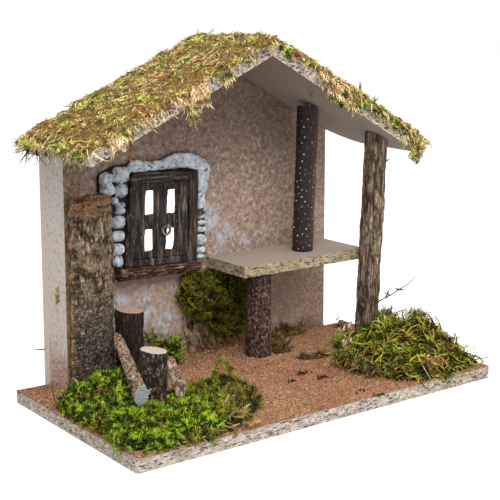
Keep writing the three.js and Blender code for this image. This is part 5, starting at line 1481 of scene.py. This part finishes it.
bunches("edge_sprigs", ferns, [
    ((-97, -77.5, 9.5), (2, 0.6, 0.3), 16, (-0.1, -0.7, -0.6), 0.8),
    ((-148.5, -57, 9.8), (0.5, 3, 0.3), 18, (-0.7, -0.2, -0.6), 0.8),
    ((-118, -75.5, 10.5), (14, 1.3, 0.6), 170, (0, -0.5, 0.5), 0.8),
    ((-147, -42, 10.5), (1.2, 16, 0.6), 110, (-0.5, -0.1, 0.6), 0.8),
    ((104, -77.4, 9.8), (3, 0.5, 0.3), 16, (0.1, -0.7, -0.6), 0.85)], leaf_green, "green_moss", 75)
bunches("heap_loops", curls, [
    ((135, 16, 27), (5, 3, 2.4), 60, (0.0, 0, 0.9), 0.5), ((146, -7, 28), (2, 6, 3), 80,
     (0.1, 0, 0.9), 0.5), ((147, -45, 16), (1.5, 12, 2), 30, (0.3, -0.2, 0.6), 0.4)], curl_green,
    "green_moss", 76, (0, 0, -1, 0.3))
light_curl = moss("light_curl_moss", [(0.0, "#6c7619"), (0.5, "#a2aa33"), (1.0, "#c9c955")],
                  [(0.0, "#7a6a22"), (0.5, "#a8993a"), (1.0, "#cdbd62")], 9, 0.4, 0.45, 7, 0.75)
bunches("heap_light", ropes, [
    ((117, -18, 27.5), (6, 6, 1.2), 42, (0.5, -0.6, 0.25), 0.55),
    ((110, -36, 22), (7, 6, 1.2), 42, (0.4, -0.7, 0.15), 0.55),
    ((92, -28, 21), (5, 6, 1.2), 24, (-0.4, -0.7, 0.2), 0.5)], light_curl, "green_moss", 93,
    (0, 0, -1, 0.6))
bunches("heap_ferns", ferns, [
    ((134, 15, 27), (5, 3, 3), 110, (0.0, -0.2, 0.9), 1.0), ((146, -8, 29), (2, 6, 3), 120,
     (0.1, -0.2, 0.9), 1.0)], curl_green, "green_moss", 86)
bunches("twig_leaves", leafy_tufts, [
    ((121, 9, 43), (2.4, 0.4, 0.9), 16, (0, 0, 0.7), 0.5), ((129, 7.5, 48), (1.6, 0.5, 1.8), 20,
     (0, 0, 0.6), 0.55), ((139, 6, 50.4), (2.2, 0.4, 0.9), 16, (0.3, 0, 0.4), 0.5),
    ((110, 38, 18), (2.5, 2, 4), 24, (-0.5, -0.3, 0.5), 0.7)], dark_green, "green_moss", 77)
bunches("roof_sprigs", ferns, [
    ((90, -1, 205), (0.6, 0.6, 1), 7, (0.1, -0.1, 1), 0.8), ((104, -1, 197), (0.8, 0.6, 1), 8,
     (0.2, -0.1, 1), 0.85), ((50.3, 7, 206.5), (1.6, 1, 0.8), 10, (0, -0.2, -1), 0.55)],
    leaf_green, "dry_moss", 78)
bunches("eave_clump", leafy_tufts, [
    ((-141.5, 66, 178), (0.8, 6, 2.6), 90, (-0.8, -0.2, -0.2), 1.0),
    ((-141.5, 30, 177), (0.6, 16, 1), 40, (-0.6, -0.2, 0.1), 0.7)], roof_green, "dry_moss", 79)
bunches("eave_curls", curls, [
    ((-139.5, 2, 177), (1.2, 4, 2), 50, (-0.7, -0.4, -0.3), 0.4),
    ((-140.5, 22, 177), (0.8, 8, 1.6), 40, (-0.8, -0.1, -0.2), 0.35)], hump_green, "dry_moss", 90,
    (0, 0, -1, 0.8))
rust = moss("rust_straw", [(0.0, "#3c1d10"), (0.5, "#7c4728"), (1.0, "#b06e40")],
            [(0.0, "#2c170c"), (0.5, "#653820"), (1.0, "#9a5f38")], 9, 0.5, 0.7)
bunches("roof_rust", straws, [
    ((-46, 23, 220.6), (3, 2.5, 0.6), 22, (-0.9, 0.1, -0.4), 0.9),
    ((-40, 10, 223.2), (3, 3, 0.6), 26, (-0.9, 0.1, -0.4), 0.9),
    ((-36, 4, 224.6), (3, 1.2, 0.6), 12, (-0.9, 0.1, -0.4), 0.8)], rust, "dry_moss", 91)
# Dark straws placed as painted shade on the roof moss.
bunches("roof_shade", straws, [
    ((-18, 59, 233), (2.5, 4, 0.6), 20, (-0.9, 0.1, -0.42), 0.8),
    ((-92.6, 70, 198.6), (3, 3, 0.6), 20, (-0.9, 0, -0.42), 0.8),
    ((-97, 54, 196.8), (3, 4, 0.6), 22, (-0.9, 0.1, -0.42), 0.8)], dark_bits, "dry_moss", 92)
bunches("eave_threads", threads, [
    ((-141.5, 64, 174), (0.5, 1.5, 1), 10, (-0.1, 0.1, -1), 0.85),
    ((-141.5, 52, 174), (0.5, 1.2, 1), 9, (-0.1, -0.2, -1), 0.85),
    ((-141.5, 36, 174), (0.5, 3, 1), 10, (-0.1, 0.1, -1), 0.6)], dark_green, "dry_moss", 80,
    (0, 0, -1, 0))
bunches("wall_tuft", hair_tufts, [
    ((-122.9, 64, 74), (0.2, 1.6, 3.2), 26, (-0.5, -0.3, -0.6), 0.6)], golden, "dry_moss", 81)
bunches("dark_crumbs", [crumb(2.4, 1.5, 1.0), crumb(3.6, 1.0, 0.8), crumb(1.4, 1.2, 1.0)], [
    ((28, -12, 9.9), (3, 2.4, 0.3), 16, (0, 0, 1), 1.3),
    ((33, -28, 9.9), (2.2, 1.2, 0.3), 8, (0, 0, 1), 1.4),
    ((12, -22, 9.9), (2, 1, 0.3), 6, (0, 0, 1), 1.2),
    ((35, -67, 9.9), (3, 1.5, 0.3), 8, (0, 0, 1), 1.2),
    ((41, -78.2, 8.6), (3, 0.5, 0.6), 12, (0, -1, 0), 1.1),
    ((20, 30, 9.7), (26, 18, 0.2), 34, (0, 0, 1), 0.8),
    ((-146, 30, 9.6), (2, 12, 0.2), 14, (0, 0, 1), 0.6)], dark_bits, "bark", 82)
bunches("floor_fibres", threads, [
    ((10, 10, 9.6), (40, 34, 0.1), 60, (0.6, -0.6, 0.02), 0.45),
    ((20, 55, 9.6), (40, 10, 0.1), 50, (0.6, 0.3, 0.02), 0.5)], dark_bits, "bark", 88,
    (0, 0, -1, 0.9))
splinter_finish = toned("pale_splinters", 0.9, [(0.0, "#8f7558"), (0.5, "#b99c7b"),
                                                (1.0, "#d8c2a2")])
bunches("pale_splinters", [crumb(7, 2.2, 1.1), crumb(5, 1.6, 0.9)], [
    ((83, 2, 19), (2.5, 3, 1.5), 8, (-0.4, -0.6, 0.6), 1.4),
    ((79, -3, 16), (2, 3, 1), 6, (-0.4, -0.6, 0.6), 1.2),
    ((106, 28, 20), (3, 3, 1.5), 9, (-0.4, -0.6, 0.6), 1.3)],
    splinter_finish, "bark", 83, (0.6, 0.3, 0.8, 0.8))
rim_finish = toned("torn_rim", 0.9, [(0.0, "#cfc8bd"), (1.0, "#efece6")])
bunches("left_log_rim", [flat_shape(leaf(2.6, 1.5, 0.1))], [
    ((-97.6 - 0.95 * k, -9.6, 22.6 - 1.75 * k), (0.1, 0.1, 0.2), 2, (0.9, -0.9, 0.1), 0.8)
    for k in range(6)], rim_finish, "split_wood", 84)
